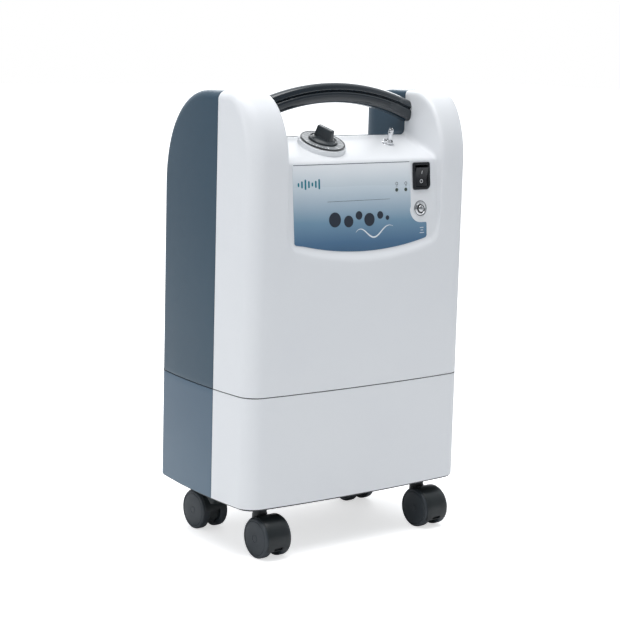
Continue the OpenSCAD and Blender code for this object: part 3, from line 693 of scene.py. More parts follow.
def cutOpening(bm, place, halfW, halfH):
    # splits the skin along a rectangle's sides in a local frame, then removes what is inside
    origin, xAxis, yAxis, zAxis = (Vector(np.array(v, float)) for v in place)
    origin *= mm

    def local(p):
        d = p - origin
        return d.dot(xAxis) / mm, d.dot(yAxis) / mm, d.dot(zAxis) / mm

    for axis, half in ((xAxis, halfW), (yAxis, halfH)):
        for sign in (-1, 1):
            near = []
            for face in bm.faces:
                x, y, z = local(face.calc_center_median())
                if abs(z) < 9 and abs(x) < halfW + 26 and abs(y) < halfH + 26:
                    near.append(face)
            geom = list({e for f in near for e in f.edges} | {v for f in near for v in f.verts}) + near
            bmesh.ops.bisect_plane(bm, geom=geom, plane_co=origin + axis * (sign * half * mm), plane_no=axis, dist=1e-7)
    inside = []
    for face in bm.faces:
        x, y, z = local(face.calc_center_median())
        if abs(z) < 9 and abs(x) < halfW and abs(y) < halfH:
            inside.append(face)
    bmesh.ops.delete(bm, geom=inside, context="FACES")


def shellPiece(name, verts, faces, keep, openings, material):
    # Cuts one cover out of the cabinet skin, rounds its lips and gives it a wall.
    c = cabinet
    mesh = bpy.data.meshes.new(name)
    mesh.from_pydata((verts * mm).tolist(), [], faces.tolist())
    bm = bmesh.new()
    bm.from_mesh(mesh)
    for axis, place, sign in keep:
        normal = Vector([1.0 if n == axis else 0.0 for n in range(3)]) * sign
        edge = Vector([place * mm if n == axis else 0.0 for n in range(3)])
        bmesh.ops.bisect_plane(bm, geom=bm.verts[:] + bm.edges[:] + bm.faces[:], plane_co=edge, plane_no=-normal,
                               clear_outer=True, dist=1e-7)
        for part in (0.12, 0.4, 1.0):
            at = edge + normal * (c["lip"] * part * mm)
            bmesh.ops.bisect_plane(bm, geom=bm.verts[:] + bm.edges[:] + bm.faces[:], plane_co=at, plane_no=normal,
                                   dist=1e-7)
    for place, halfW, halfH in openings:
        cutOpening(bm, place, halfW, halfH)
    bm.normal_update()
    for vert in bm.verts:
        pull = 0
        for axis, place, sign in keep:
            depth = (vert.co[axis] / mm - place) * sign
            if depth < c["lip"]:
                pull = max(pull, c["lip"] - math.sqrt(max(c["lip"] ** 2 - (c["lip"] - depth) ** 2, 0)))
        if pull:
            vert.co -= vert.normal * (pull * mm)
    loose = [v for v in bm.verts if not v.link_faces]
    bmesh.ops.delete(bm, geom=loose, context="VERTS")
    bm.to_mesh(mesh)
    bm.free()
    mesh.materials.append(material)
    mesh.shade_smooth()
    obj = addObject(name, mesh)
    wall = obj.modifiers.new("wall", "SOLIDIFY")
    wall.thickness = c["wall"] * mm
    wall.offset = -1
    bakeModifiers(obj)
    obj.data.set_sharp_from_angle(angle=math.radians(60))
    return obj


def makeShells():
    c = cabinet
    fine = 2.4
    xs = gridLines([(-183, -92, fine), (-92, 92, 7), (92, 183, fine)])
    ys = gridLines([(-119, -84, 1.9), (-84, 60, 4), (60, 119, 2.9)])
    zs = gridLines([(c["bottom"] - 12, 366, 16), (366, 412, fine * 0.7), (412, 484, 6), (484, 536, fine * 0.8),
                    (536, 593, fine)])
    verts, faces = surfaceNet(cabinetField, xs, ys, zs)
    print("cabinet skin:", len(faces), "quads")
    upper, lower = c["seamZ"] + c["gap"], c["seamZ"] - c["gap"]
    fore, aft = c["seamY"] - c["gap"] / 2, c["seamY"] + c["gap"] / 2
    controls = [(panelPlace(*switchAt), 12.9, 15), (panelPlace(*breakerAt), 4.4, 4.4)]
    controls += [(panelPlace(*at), 1.8, 1.8) for at in lampsAt]
    specs = {
        "frontCoverUpper": ([(2, upper, 1), (1, fore, -1)], controls, whiteShell, "front_cover_upper"),
        "rearCoverUpper": ([(2, upper, 1), (1, aft, 1)],
                           [(rearPlace(*filterAt), 58.3, 58.3), (rearPlace(*meterAt), 17.2, 8.2)],
                           slateShell, "rear_cover_upper"),
        "frontCoverLower": ([(2, lower, -1), (2, c["bottom"], 1), (1, fore, -1)], [], whiteShell, "front_cover_lower"),
        "rearCoverLower": ([(2, lower, -1), (2, c["bottom"], 1), (1, aft, 1)],
                           [(rearPlace(*inletAt), 16.3, 12.3), (rearPlace(*ventAt), 50.3, 24.3)],
                           slateLower, "rear_cover_lower"),
    }
    for name, (keep, openings, material, node) in specs.items():
        piece = shellPiece(name, verts, faces, keep, openings, material)
        finishPiece(piece, "cabinet", "cover_white" if material is whiteShell else "cover_slate", node)
        print(name, len(piece.data.polygons), "faces")


makeShells()

handle = {"top": 600, "radius": 326, "deep": 28, "high": 27, "reach": 135, "grooveDeep": 2.8, "grooveAt": 2.0,
          "steps": 72}


def handleSection(h):
    # Closed outline (out from the arch centre, front to back): two rolls and a groove front and rear.
    half = []
    for a in np.radians(np.linspace(90, -90, 73)):
        u, v = math.cos(a), math.sin(a)
        out = h["high"] / 2 * math.copysign(abs(v) ** 0.62, v)
        across = h["deep"] / 2 * abs(u) ** 0.6
        groove = h["grooveDeep"] * math.exp(-((out - h["grooveAt"]) / 1.5) ** 2)
        lip = 0.5 * math.exp(-((out - h["grooveAt"] - 3.0) / 1.0) ** 2)
        lip += 0.5 * math.exp(-((out - h["grooveAt"] + 3.0) / 1.0) ** 2)
        half.append((out, across - groove + lip if across > 4 else across))
    return half + [(o, -a) for o, a in reversed(half[1:-1])]


def makeHandle():
    h = handle
    section = handleSection(h)
    centreZ = h["top"] - h["high"] / 2 - h["radius"]
    limit = math.asin(h["reach"] / h["radius"])
    verts, faces = [], []
    for t in np.linspace(-limit, limit, h["steps"] + 1):
        for out, across in section:
            r = h["radius"] + out
            verts.append((r * math.sin(t) * mm, (cabinet["seamY"] - across) * mm, (centreZ + r * math.cos(t)) * mm))
    n = len(section)
    for i in range(h["steps"]):
        for j in range(n):
            k = (j + 1) % n
            faces.append((i * n + j, i * n + k, (i + 1) * n + k, (i + 1) * n + j))
    faces.append(tuple(range(n)))
    faces.append(tuple(h["steps"] * n + j for j in reversed(range(n))))
    bar = tidyMesh(linkMesh("carryHandle", verts, faces, handleSkin))
    bar.data.set_sharp_from_angle(angle=math.radians(50))
    finishPiece(bar, "cabinet", "handle_plastic", "carry_handle")


makeHandle()
print("handle made")

dial = {"at": (-38, -63, 527), "tilt": 21, "radius": 29.5, "knobTurn": 19, "ticks": 37, "tickEvery": 4, "sweep": 324,
        "numerals": "0123456789", "numeralHeight": 5.2, "plinthRadius": 31.5, "skirtRadius": 18.8, "shelfDrop": 9.3}
dialPlace = tiltedPlace(dial["at"], dial["tilt"])
knobPlace = tiltedPlace(dial["at"], dial["tilt"], dial["knobTurn"])


def startTree(name, inputs):
    # a geometry node tree with named inputs, and short ways to add its nodes
    tree = bpy.data.node_groups.new(name, "GeometryNodeTree")
    for label, kind, value in [("Geometry", "Geometry", None), *inputs, ("Paint", "Material", None)]:
        socket = tree.interface.new_socket(label, in_out="INPUT", socket_type="NodeSocket" + kind)
        if value is not None:
            socket.default_value = value
    tree.interface.new_socket("Geometry", in_out="OUTPUT", socket_type="NodeSocketGeometry")
    gin = tree.nodes.new("NodeGroupInput").outputs

    def node(kind, **links):
        made = tree.nodes.new(kind)
        for target, source in links.items():
            tree.links.new(source, made.inputs[target.replace("_", " ")])
        return made

    def maths(operation, *terms):
        made = tree.nodes.new("ShaderNodeMath")
        made.operation = operation
        for index, term in enumerate(terms):
            if isinstance(term, (int, float)):
                made.inputs[index].default_value = term
            else:
                tree.links.new(term, made.inputs[index])
        return made.outputs[0]

    return tree, gin, node, maths


def endTree(tree, gin, copies):
    # real, painted meshes, because instances aren't exported
    real = tree.nodes.new("GeometryNodeRealizeInstances")
    painted = tree.nodes.new("GeometryNodeSetMaterial")
    tree.links.new(copies.outputs[0], real.inputs["Geometry"])
    tree.links.new(real.outputs[0], painted.inputs["Geometry"])
    tree.links.new(gin["Paint"], painted.inputs["Material"])
    tree.links.new(painted.outputs[0], tree.nodes.new("NodeGroupOutput").inputs[0])
    return tree


def tickRingTree():
    # marks set out round an arc, every few of them longer
    tree, gin, node, maths = startTree("tickRing", [
        ("Count", "Int", 41), ("Radius", "Float", 0.027), ("Sweep", "Float", 4.36), ("Length", "Float", 0.0025),
        ("Width", "Float", 0.0005), ("Height", "Float", 0.0002), ("Every", "Int", 5), ("Seed", "Int", 7)])
    index = node("GeometryNodeInputIndex").outputs[0]
    share = maths("DIVIDE", index, maths("SUBTRACT", gin["Count"], 1))
    turn = maths("MULTIPLY", maths("SUBTRACT", share, 0.5), gin["Sweep"])
    at = node("ShaderNodeCombineXYZ", X=maths("MULTIPLY", maths("SINE", turn), gin["Radius"]),
              Y=maths("MULTIPLY", maths("COSINE", turn), gin["Radius"]))
    points = node("GeometryNodePoints", Count=gin["Count"])
    spread = node("GeometryNodeSetPosition", Geometry=points.outputs[0], Position=at.outputs[0])
    facing = node("ShaderNodeCombineXYZ", Z=maths("MULTIPLY", turn, -1))
    main = maths("LESS_THAN", maths("MODULO", index, gin["Every"]), 0.5)
    grow = maths("MULTIPLY_ADD", main, 0.7, 1.0)
    scaleTo = node("ShaderNodeCombineXYZ", X=grow, Y=grow)
    scaleTo.inputs["Z"].default_value = 1
    size = node("ShaderNodeCombineXYZ", X=gin["Width"], Y=gin["Length"], Z=gin["Height"])
    mark = node("GeometryNodeMeshCube", Size=size.outputs[0])
    marks = node("GeometryNodeInstanceOnPoints", Points=spread.outputs[0], Instance=mark.outputs[0],
                 Rotation=facing.outputs[0], Scale=scaleTo.outputs[0])
    return endTree(tree, gin, marks)


def runTree(obj, tree, settings):
    # runs a tree on an object, its inputs matched by name, and keeps the plain mesh
    live = obj.modifiers.new("nodes", "NODES")
    live.node_group = tree
    for item in tree.interface.items_tree:
        if item.item_type == "SOCKET" and item.in_out == "INPUT" and item.name in settings:
            live[item.identifier] = settings[item.name]
    return bakeModifiers(obj)


def toPlace(obj, place):
    # moves a mesh drawn in metres about its own origin onto a local frame
    origin, xAxis, yAxis, zAxis = (Vector(np.array(v, float)) for v in place)
    turn = Matrix((xAxis, yAxis, zAxis)).transposed().to_4x4()
    obj.data.transform(Matrix.Translation(origin * mm) @ turn)
    return obj


def raisedText(name, text, height, thick, material):
    # Upright generic figures, centred on the origin of the local frame.
    curve = bpy.data.curves.new(name, "FONT")
    curve.body = text
    curve.size = height * mm
    curve.align_x, curve.align_y = "CENTER", "CENTER"
    curve.extrude = thick * mm / 2
    curve.resolution_u = 3
    source = addObject(name + "Curve", curve)
    mesh = bpy.data.meshes.new_from_object(source.evaluated_get(bpy.context.evaluated_depsgraph_get()))
    bpy.data.objects.remove(source)
    mesh.materials.clear()
    mesh.materials.append(material)
    return addObject(name, mesh)


tickRing = tickRingTree()


def makeDial():
    d = dial
    r = d["radius"]
    disc = revolve("discBody", [(3.1, -1.8), (r - 0.9, -1.8), (r, -1.2), (r, -0.2), (r - 0.5, 0), (r - 1.3, 0),
                                (r - 1.6, -0.35), (19.5, -0.35), (19.2, -0.1), (3.1, -0.1)], dialPlace, dialBlack, 96)
    ring = addObject("discTicks", bpy.data.meshes.new("discTicks"))
    runTree(ring, tickRing, {"Count": d["ticks"], "Radius": (r - 3.6) * mm, "Length": 1.9 * mm,
                             "Sweep": math.radians(d["sweep"]), "Width": 0.75 * mm, "Height": 0.16 * mm,
                             "Every": d["tickEvery"], "Paint": dialWhite})
    toPlace(ring, placedBy(dialPlace, 0, 0, -0.30))
    band = [(19.6, -0.4), (r - 1.7, -0.4), (r - 1.7, -0.31), (19.6, -0.31)]
    face = revolve("discFace", band, dialPlace, dialGrey, 96)
    parts = [disc, face, ring]
    for i, figure in enumerate(d["numerals"]):
        turn = math.radians(d["sweep"]) * (i / (len(d["numerals"]) - 1) - 0.5)
        mark = raisedText("figure" + figure, figure, d["numeralHeight"], 0.16, dialWhite)
        mark.data.transform(Matrix.Rotation(-turn, 4, "Z"))
        far = r - 7.4
        toPlace(mark, placedBy(dialPlace, far * math.sin(turn), far * math.cos(turn), -0.30))
        parts.append(mark)
    finishPiece(mergeObjects("flowDisc", parts), "flow_dial", "dial_black", "dial_disc")
    s = d["skirtRadius"]
    edge = [(0, 0), (s - 0.5, 0), (s, 0.5), (s, 1.6), (s - 0.3, 2.3), (s - 1.0, 2.6), (s - 1.9, 2.3),
            (s - 2.6, 1.7), (s - 3.4, 1.9), (14.2, 2.9), (11, 3.7), (0, 4.0)]
    skirt = revolve("knobSkirt", edge, knobPlace, knobSkin, 72)
    shaft = revolve("knobShaft", [(0, -34), (3, -34), (3, 0.5), (0, 0.5)], knobPlace, steel, 24)
    grip = taperedBar("knobGrip", [(2.6, 5.2, 13.0), (4.0, 4.9, 12.6), (9.0, 4.4, 12.2), (16.1, 3.9, 11.7),
                                   (17.0, 3.6, 11.4), (17.4, 3.0, 10.8)], 1.6, knobPlace, knobSkin)
    # painted highlight: a grey plate on the grip's top face makes the top lighter than its black sides
    crown = slab("knobCrown", roundedBox(5.0, 20.6, 1.2, 4), 17.3, 17.46, knobPlace, dialGrey)
    line = slab("knobLine", roundedBox(1.0, 7.5, 0.45, 3), 17.4, 17.5, placedBy(knobPlace, 0, 5.4, 0), dialWhite)
    finishPiece(mergeObjects("flowKnob", [skirt, shaft, grip, crown, line]), "flow_dial", "knob_plastic", "dial_knob")
    p = d["plinthRadius"]
    plinth = revolve("dialPlinth", [(4, -18), (p, -18), (p, -3.4), (p - 0.4, -2.7), (p - 1.2, -2.4), (4, -2.4)],
                     dialPlace, whiteShell, 96)
    pointer = slab("dialPointer", [(40.4, 1.6), (46.6, -4.7), (47.0, -4.3), (41.6, 3.2)], -d["shelfDrop"] - 0.6,
                   -d["shelfDrop"] + 0.25, dialPlace, blackGloss)
    finishPiece(mergeObjects("dialPlinth", [plinth]), "cabinet", "cover_white")
    finishPiece(mergeObjects("dialPointer", [pointer]), "cabinet", "dial_black")


def placedBy(place, x, y, z):
    # the same local frame with its origin moved by local millimetres
    base = np.array(place[1:], float)
    return (tuple(np.array(place[0], float) + np.array((x, y, z), float) @ base), *place[1:])


def taperedBar(name, levels, corner, place, material):
    # A rounded bar through (height, half width, half length) levels.
    rings = [roundedBox(2 * w, 2 * l, min(corner, w * 0.7), 5) for _, w, l in levels]
    n = len(rings[0])
    verts = [(x, y, levels[i][0]) for i, ring in enumerate(rings) for x, y in ring]
    faces = [(i * n + j, i * n + (j + 1) % n, (i + 1) * n + (j + 1) % n, (i + 1) * n + j)
             for i in range(len(rings) - 1) for j in range(n)]
    faces.append(tuple(reversed(range(n))))
    faces.append(tuple((len(rings) - 1) * n + j for j in range(n)))
    bar = tidyMesh(linkMesh(name, placed(verts, *place), faces, material))
    bar.data.set_sharp_from_angle(angle=math.radians(42))
    return bar


makeDial()
print("dial made")

labelTones = [(380, (0.045, 0.110, 0.20)), (400, (0.070, 0.160, 0.28)), (425, (0.17, 0.30, 0.42)),
              (448, (0.36, 0.48, 0.56)), (470, (0.62, 0.70, 0.76)), (497, (0.86, 0.89, 0.92))]
printTones = {"teal": (0.012, 0.20, 0.28), "dark": (0.020, 0.028, 0.045), "pale": (0.75, 0.80, 0.84)}


def makeLabelMaterial():
    # printed film: a graded ink under a satin coat
    material, tree, shader, place = startMaterial("labelFilm")
    split = addNode(tree, "SeparateXYZ", [(place.outputs["Object"], "Vector")])
    lean = addNode(tree, "Math", [(split.outputs["X"], 0), (split.outputs["Z"], 2)], operation="MULTIPLY_ADD")
    lean.inputs[1].default_value = 0.02
    wave = addNode(tree, "TexNoise", [(place.outputs["Object"], "Vector")], Scale=9.0, Detail=1.0)
    ripple = addNode(tree, "Math", [(wave.outputs["Fac"], 0), (lean.outputs[0], 2)], operation="MULTIPLY_ADD")
    ripple.inputs[1].default_value = 0.012
    low, high = labelTones[0][0] * mm, labelTones[-1][0] * mm
    lift = 0.006      # what the ripple adds on average
    level = remap(tree, ripple.outputs[0], low + lift, high + lift)
    ramp = tree.nodes.new("ShaderNodeValToRGB")
    stops = ramp.color_ramp.elements
    for i, (z, color) in enumerate(labelTones):
        stop = stops[0] if i == 0 else stops[-1] if i == len(labelTones) - 1 else stops.new(0.5)
        stop.position = (z * mm - low) / (high - low)
        stop.color = rgba(color)
    tree.links.new(level.outputs["Result"], ramp.inputs["Fac"])
    body = surfaceNode(tree, mouldedSurface, place, Grain_Scale=2400, Roughness=0.34)
    tree.links.new(ramp.outputs["Color"], body.inputs["Color"])
    tree.links.new(ramp.outputs["Color"], body.inputs["Flow Color"])
    tree.links.new(body.outputs["Color"], shader.inputs["Base Color"])
    tree.links.new(body.outputs["Roughness"], shader.inputs["Roughness"])
    shader.inputs["Coat Weight"].default_value = 0.25
    shader.inputs["Coat Roughness"].default_value = 0.2
    addBump(tree, shader, body.outputs["Height"], 0.05, 0.0001)
    return material


labelFilm = makeLabelMaterial()
inks = {name: plastic("ink" + name.title(), tone, tuple(0.9 * c for c in tone), rough=0.35, bump=0.04)
        for name, tone in printTones.items()}


def labelOutline():
    # lower edge, then the notch round the breaker, then the top edge; (x, z) on the panel
    low = arcPoints(0, 827, 440, 270 - 14.1, 270 + 13.6, 22)
    notch = arcPoints(*breakerAt, 17.8, 270, 180, 10)
    return ([(-108.5, 399.5)] + low[1:] + [(105.3, 402), (105.5, 418), (104.7, 419.4), (95.3, 419.4)] + notch
            + [(79, 441), (79, 499), (78, 500), (-110.3, 500), (-111.5, 498.8), (-111.5, 402.3), (-110.6, 400.4)])


def ribbon(name, points, widths, low, high, place, material):
    # A raised stroke of varying width through (x, y) points in millimetres.
    p = np.array(points, float)
    slope = np.gradient(p, axis=0)
    slope /= np.linalg.norm(slope, axis=1)[:, None]
    side = np.stack([-slope[:, 1], slope[:, 0]], 1) * np.array(widths)[:, None] / 2
    n = len(p)
    rows = [np.column_stack([q, np.full(n, z)]) for q, z in
            ((p + side, low), (p - side, low), (p - side, high), (p + side, high))]
    faces = [(a * n + i, a * n + i + 1, b * n + i + 1, b * n + i)
             for a, b in ((0, 1), (1, 2), (2, 3), (3, 0)) for i in range(n - 1)]
    faces += [(0, n, 2 * n, 3 * n), tuple(k * n + n - 1 for k in (3, 2, 1, 0))]
    return tidyMesh(linkMesh(name, placed(np.vstack(rows), *place), faces, material, smooth=False))


def makeLabel():
    mid = 442
    place = panelPlace(0, mid)
    film = slab("filmSheet", [(x, z - mid) for x, z in labelOutline()], 0.02, 0.45, place, labelFilm,
                [arcPoints(x, z - mid, 2.7, 0, 345, 23) for x, z in lampsAt])
    parts = [film]
    ink = 0.52

    def printed(outline, tone):
        parts.append(slab("print%d" % len(parts), outline, 0.44, ink, place, inks[tone]))

    # painted shadow along the label's top edge, drawn as a dark ink strip
    printed([(-110.5, 57.7), (-110.5, 56.9), (78, 56.9), (78, 57.7)], "dark")
    for i, rise in enumerate((5, 9, 13, 9, 5, 9, 13)):      # airflow mark
        x = -103 + 5.4 * i
        printed([(x + a, 33 + b) for a, b in roundedBox(2.6, rise, 1.3, 4)], "teal")
    printed([(-58, 10.3), (-58, 9.9), (44, 9.9), (44, 10.3)], "dark")
    for x, y, bubble in ((-47, -13, 9.5), (-25, -16, 7.5), (-8, -9, 5.5), (9, -15, 8.5), (27, -10, 5), (39, -14, 3)):
        parts.append(slab("bubble%d" % len(parts), arcPoints(x, y, bubble, 0, 352, 44), 0.44, ink, place, inks["dark"]))
    t = np.linspace(0, 1, 90)       # thin pale breath line across the bubbles' end
    sweep = np.stack([-14 + 62 * t, -35 + 8 * np.sin(t * math.pi * 2.6 + 0.6) * (1 - 0.4 * t) + 7 * t], 1)
    parts.append(ribbon("paleWave", sweep, 0.3 + 1.7 * np.sin(t * math.pi), ink, ink + 0.05, place, inks["pale"]))
    for (x, z) in lampsAt:
        parts.append(slab("lampMark%d" % len(parts), arcPoints(x, z - mid + 8.2, 2.1, 0, 345, 23), 0.44, ink, place,
                          inks["dark"], [arcPoints(x, z - mid + 8.2, 1.5, 0, 345, 23)]))
        printed([(x + a, z - mid + 4.9 + b) for a, b in roundedBox(3.2, 0.5, 0.2, 2)], "dark")
    for i, w in enumerate((6.5, 4.5, 7.5)):
        printed([(97 + a, -29.5 - 3.4 * i + b) for a, b in roundedBox(w, 0.8, 0.35, 2)], "pale")
    finishPiece(mergeObjects("controlLabel", parts), "cabinet", "label_film", "control_label")


makeLabel()
print("label made")

switch = {"wide": 29.4, "high": 36, "tilt": 8, "pivot": -6}


def makeSwitch():
    w, h = switch["wide"] / 2, switch["high"] / 2
    rim = (arcPoints(w - 3, h - 3, 3, 0, 90, 5) + arcPoints(-w + 3, h - 3, 3, 90, 180, 5)
           + arcPoints(-w + 3, -h + 3, 3, 180, 270, 5) + arcPoints(w - 7, -h + 7, 7, 270, 360, 8))
    place = panelPlace(*switchAt)
    bezel = slab("switchBezel", rim, 0, 2, place, blackGloss, [roundedBox(21.6, 28.4, 1.2, 4)])
    roundEdges(bezel, 0.6 * mm, 3, 50)
    box = slab("switchBox", roundedBox(25.4, 29.6, 0.8, 2), -18, 0, place, blackGloss,
               [roundedBox(21.6, 28.4, 0.8, 2)])
    finishPiece(mergeObjects("switchFrame", [bezel, box]), "cabinet", "black_plastic", "switch_frame")
    t = math.radians(switch["tilt"])
    base = np.array(place[1:], float)
    hinge = np.array(place[0]) + switch["pivot"] * base[2]
    tilted = (tuple(hinge), tuple(base[0]), tuple(base[1] * math.cos(t) + base[2] * math.sin(t)),
              tuple(base[2] * math.cos(t) - base[1] * math.sin(t)))
    curve = [(-12.3, 2.5), (12.3, 2.5), (12.3, 8.9)]
    curve += [(y, 7.1 + 1.8 * (abs(y) / 12.3) ** 1.8) for y in np.linspace(12.0, -12.0, 17)] + [(-12.3, 8.9)]
    wide = 10.5
    side = (tilted[0], tilted[2], tilted[3], tilted[1])
    paddle = slab("rockerPaddle", curve, -wide, wide, side, blackGloss)
    roundEdges(paddle, 0.45 * mm, 2, 55)
    pin = revolve("rockerPin", [(0, -11.8), (1.5, -11.8), (1.5, 11.8), (0, 11.8)], side, blackGloss, 16)
    bar = raisedText("onMark", "I", 6.4, 0.12, dialWhite)
    lean = math.radians(9)
    upper, lower = markPlace(tilted, 5.6, 7.66, lean), markPlace(tilted, -5.9, 7.7, -lean)
    toPlace(bar, upper)
    ring = slab("offMark", arcPoints(0, 0, 2.5, 0, 350, 35), -0.05, 0.1, lower, dialWhite,
                [arcPoints(0, 0, 1.85, 0, 350, 35)])
    finishPiece(mergeObjects("powerRocker", [paddle, pin, bar, ring]), "rocker", "black_plastic", "rocker")


def markPlace(place, y, z, lean):
    # a spot on the curved paddle, turned to follow its slope
    base = np.array(place[1:], float)
    up = base[1] * math.cos(lean) + base[2] * math.sin(lean)
    out = base[2] * math.cos(lean) - base[1] * math.sin(lean)
    return (placedBy(place, 0, y, z)[0], tuple(base[0]), tuple(up), tuple(out))


def makeBreaker():
    place = panelPlace(*breakerAt)
    nut = revolve("breakerRing", [(5.66, 0), (10.7, 0), (11, 0.3), (11, 0.7), (10.5, 1.0), (9.4, 0.9), (8.3, 0.8),
                                  (7.9, 1.1), (7.8, 1.9), (7.3, 2.35), (6.9, 2.4), (6.4, 2.1), (6.0, 1.3),
                                  (5.66, 1.2)], place, chrome, 64)
    finishPiece(nut, "cabinet", "chrome_ring", "breaker_nut")
    sleeve = revolve("breakerSleeve", [(4.36, -12), (5.6, -12), (5.6, 1.5), (5.3, 2), (4.7, 2), (4.36, 1.6)], place,
                     blackGloss, 48)
    case = slab("breakerCase", roundedBox(16, 16, 1, 3), -34, -6, place, blackGloss)
    finishPiece(mergeObjects("breakerBody", [sleeve, case]), "cabinet", "black_plastic", "breaker_body")
    dome = [(0, -9), (4.3, -9), (4.3, 2.0)]
    dome += [(4.3 * math.cos(a), 2.0 + 1.6 * math.sin(a)) for a in np.radians(np.linspace(10, 90, 10))]
    finishPiece(revolve("resetButton", dome, place, chrome, 48), "reset_button", "chrome_ring", "reset_button")


def makeLamps():
    lens = plastic("lampLens", (0.035, 0.05, 0.045), (0.05, 0.075, 0.06), rough=0.12, bump=0.02, coat=0.8)
    lamps = []
    for i, at in enumerate(lampsAt):
        lamps.append(revolve("lamp%d" % i, [(0, -9), (3.2, -9), (3.2, -7), (2.4, -7), (2.4, 0.4)]
                             + [(2.4 * math.cos(a), 0.4 + 0.6 * math.sin(a)) for a in np.radians((20, 40, 60, 90))],
                             panelPlace(*at), lens, 32))
    finishPiece(mergeObjects("indicatorLamps", lamps), "cabinet", "lamp_lens", "indicator_lamps")


outlet = {"at": (74.9, -56.5, 519.6), "tilt": 21}


def makeOutlet():
    place = tiltedPlace(outlet["at"], outlet["tilt"])
    stem = [(1.25, -18), (4, -18), (4, 4.9), (3.7, 5.4), (2.9, 5.7), (2.55, 6.4), (2.45, 13.2), (2.6, 13.8),
            (3.3, 14.9), (3.4, 15.3), (3.35, 16), (2.9, 17.6), (3.35, 18), (3.4, 18.5), (2.7, 21.4), (2.3, 22),
            (1.6, 22), (1.25, 21.6)]
    barb = revolve("outletBarb", stem, place, chrome, 40)
    finishPiece(barb, "cabinet", "outlet_metal", "outlet_fitting")
    rim = [(4.1, 0.4), (7.7, 0.4), (8, 0.7), (8, 1.0), (7.7, 1.2), (4.1, 1.2)]
    washer = revolve("outletWasher", rim, place, chrome, 56)
    hexagon = slab("outletHex", arcPoints(0, 0, 7.2, 0, 300, 5), 1.2, 4.6, place, chrome,
                   [arcPoints(0, 0, 4.1, 0, 345, 23)])
    roundEdges(hexagon, 0.5 * mm, 2, 40)
    finishPiece(mergeObjects("outletNut", [washer, hexagon]), "cabinet", "outlet_metal", "outlet_nut")


makeSwitch()
makeBreaker()
makeLamps()
makeOutlet()
print("switch, breaker, lamps and outlet made")

caster = {"wheelRadius": 26, "trail": 18, "half": 20, "gap": 8.5, "hoodRadius": 27.4, "hoodHalf": 16.6, "web": 7.6,
          "hoodStart": -29.5, "hoodSweep": 202, "neckRadius": 9, "neckTop": 60.8,
          "stems": {"fl": (-132, -74.4), "fr": (132, -74.4), "rl": (-127.7, 40), "rr": (127.7, 40)}}


def cutBy(obj, cutter):
    cut = obj.modifiers.new("cut", "BOOLEAN")
    cut.operation = "DIFFERENCE"
    cut.solver = "EXACT"
    cut.object = cutter
    bakeModifiers(obj)
    bpy.data.objects.remove(cutter)
    return obj


def makeCaster(key, x, y):
    c = caster
    ahead = -1 if y < 0 else 1
    axle = (x, y + ahead * c["trail"], c["wheelRadius"])
    hoodPlace = (axle, (0, ahead, 0), (0, 0, 1), (ahead, 0, 0))
    r, h, w = c["hoodRadius"], c["hoodHalf"], c["web"]
    inner = c["wheelRadius"] + 0.35
    half = [(r, w), (r, h - 1.5), (r - 0.25, h - 0.55), (r - 0.75, h), (inner, h), (inner, w), (3.1, w)]
    profile = half + [(a, -b) for a, b in reversed(half)]
    shell = revolve("hoodShell", profile, hoodPlace, casterSkin, 64, c["hoodStart"], c["hoodSweep"])
    slot = math.radians(c["hoodStart"] + 6.5)
    reach = np.array((0, math.cos(slot) * ahead, math.sin(slot)))
    slotPlace = (tuple(np.array(axle) + reach * (r - 2.6)), (1, 0, 0),
                 tuple(np.cross(reach, (1, 0, 0))), tuple(reach))
    cutBy(shell, slab("slotCutter", roundedBox(13, 4.2, 0.8, 3), 0, 8, slotPlace, casterSkin))
    roundEdges(shell, 0.5 * mm, 2, 40)
    hub = revolve("hoodHub", [(3.1, -w - 0.3), (20.4, -w - 0.3), (21, -w + 0.3), (21, w - 0.3), (20.4, w + 0.3),
                              (3.1, w + 0.3)], hoodPlace, casterSkin, 48)
    n, t = c["neckRadius"], c["neckTop"]
    neck = revolve("hoodNeck", [(5.6, 38), (n + 1.2, 38), (n + 0.9, 51), (n, 54), (n, t - 0.9), (n - 0.5, t - 0.2),
                                (n - 1.2, t), (5.6, t)], ((x, y, 0), (1, 0, 0), (0, 1, 0), (0, 0, 1)), casterSkin, 48)
    finishPiece(mergeObjects("casterHood_" + key, [shell, hub, neck]), "caster_" + key, "caster_plastic",
                "caster_%s_hood" % key)
    rim, g, o = c["wheelRadius"], c["gap"], c["half"]
    tread = [(3.05, g), (19, g), (20, g + 0.9), (23.2, g + 0.9), (24.2, g), (25.1, g + 0.3), (rim - 0.2, g + 1.1),
             (rim, g + 2.2), (rim, o - 3), (rim - 0.3, o - 1.7), (rim - 1, o - 0.8), (rim - 2, o - 0.3),
             (rim - 2.9, o - 0.15), (rim - 3.3, o - 0.45), (rim - 3.6, o - 0.9), (rim - 4, o - 0.9),
             (rim - 4.4, o - 0.4), (rim - 5.2, o - 0.15), (10, o - 0.02), (5.2, o), (4.8, o - 0.4), (4.4, o - 0.4),
             (4.0, o - 0.05), (0, o), (0, o - 1.6), (3.05, o - 1.6)]
    for side, sign in (("l", -1), ("r", 1)):
        place = (axle, (0, sign, 0), (0, 0, 1), (sign, 0, 0))
        wheel = revolve("wheelDisc", tread, place, wheelSkin, 72)
        finishPiece(mergeObjects("casterWheel_%s_%s" % (key, side), [wheel]), "wheel_%s_%s" % (key, side),
                    "wheel_plastic", "caster_%s_wheel_%s" % (key, side))


for key, (x, y) in caster["stems"].items():
    makeCaster(key, x, y)
print("casters made")

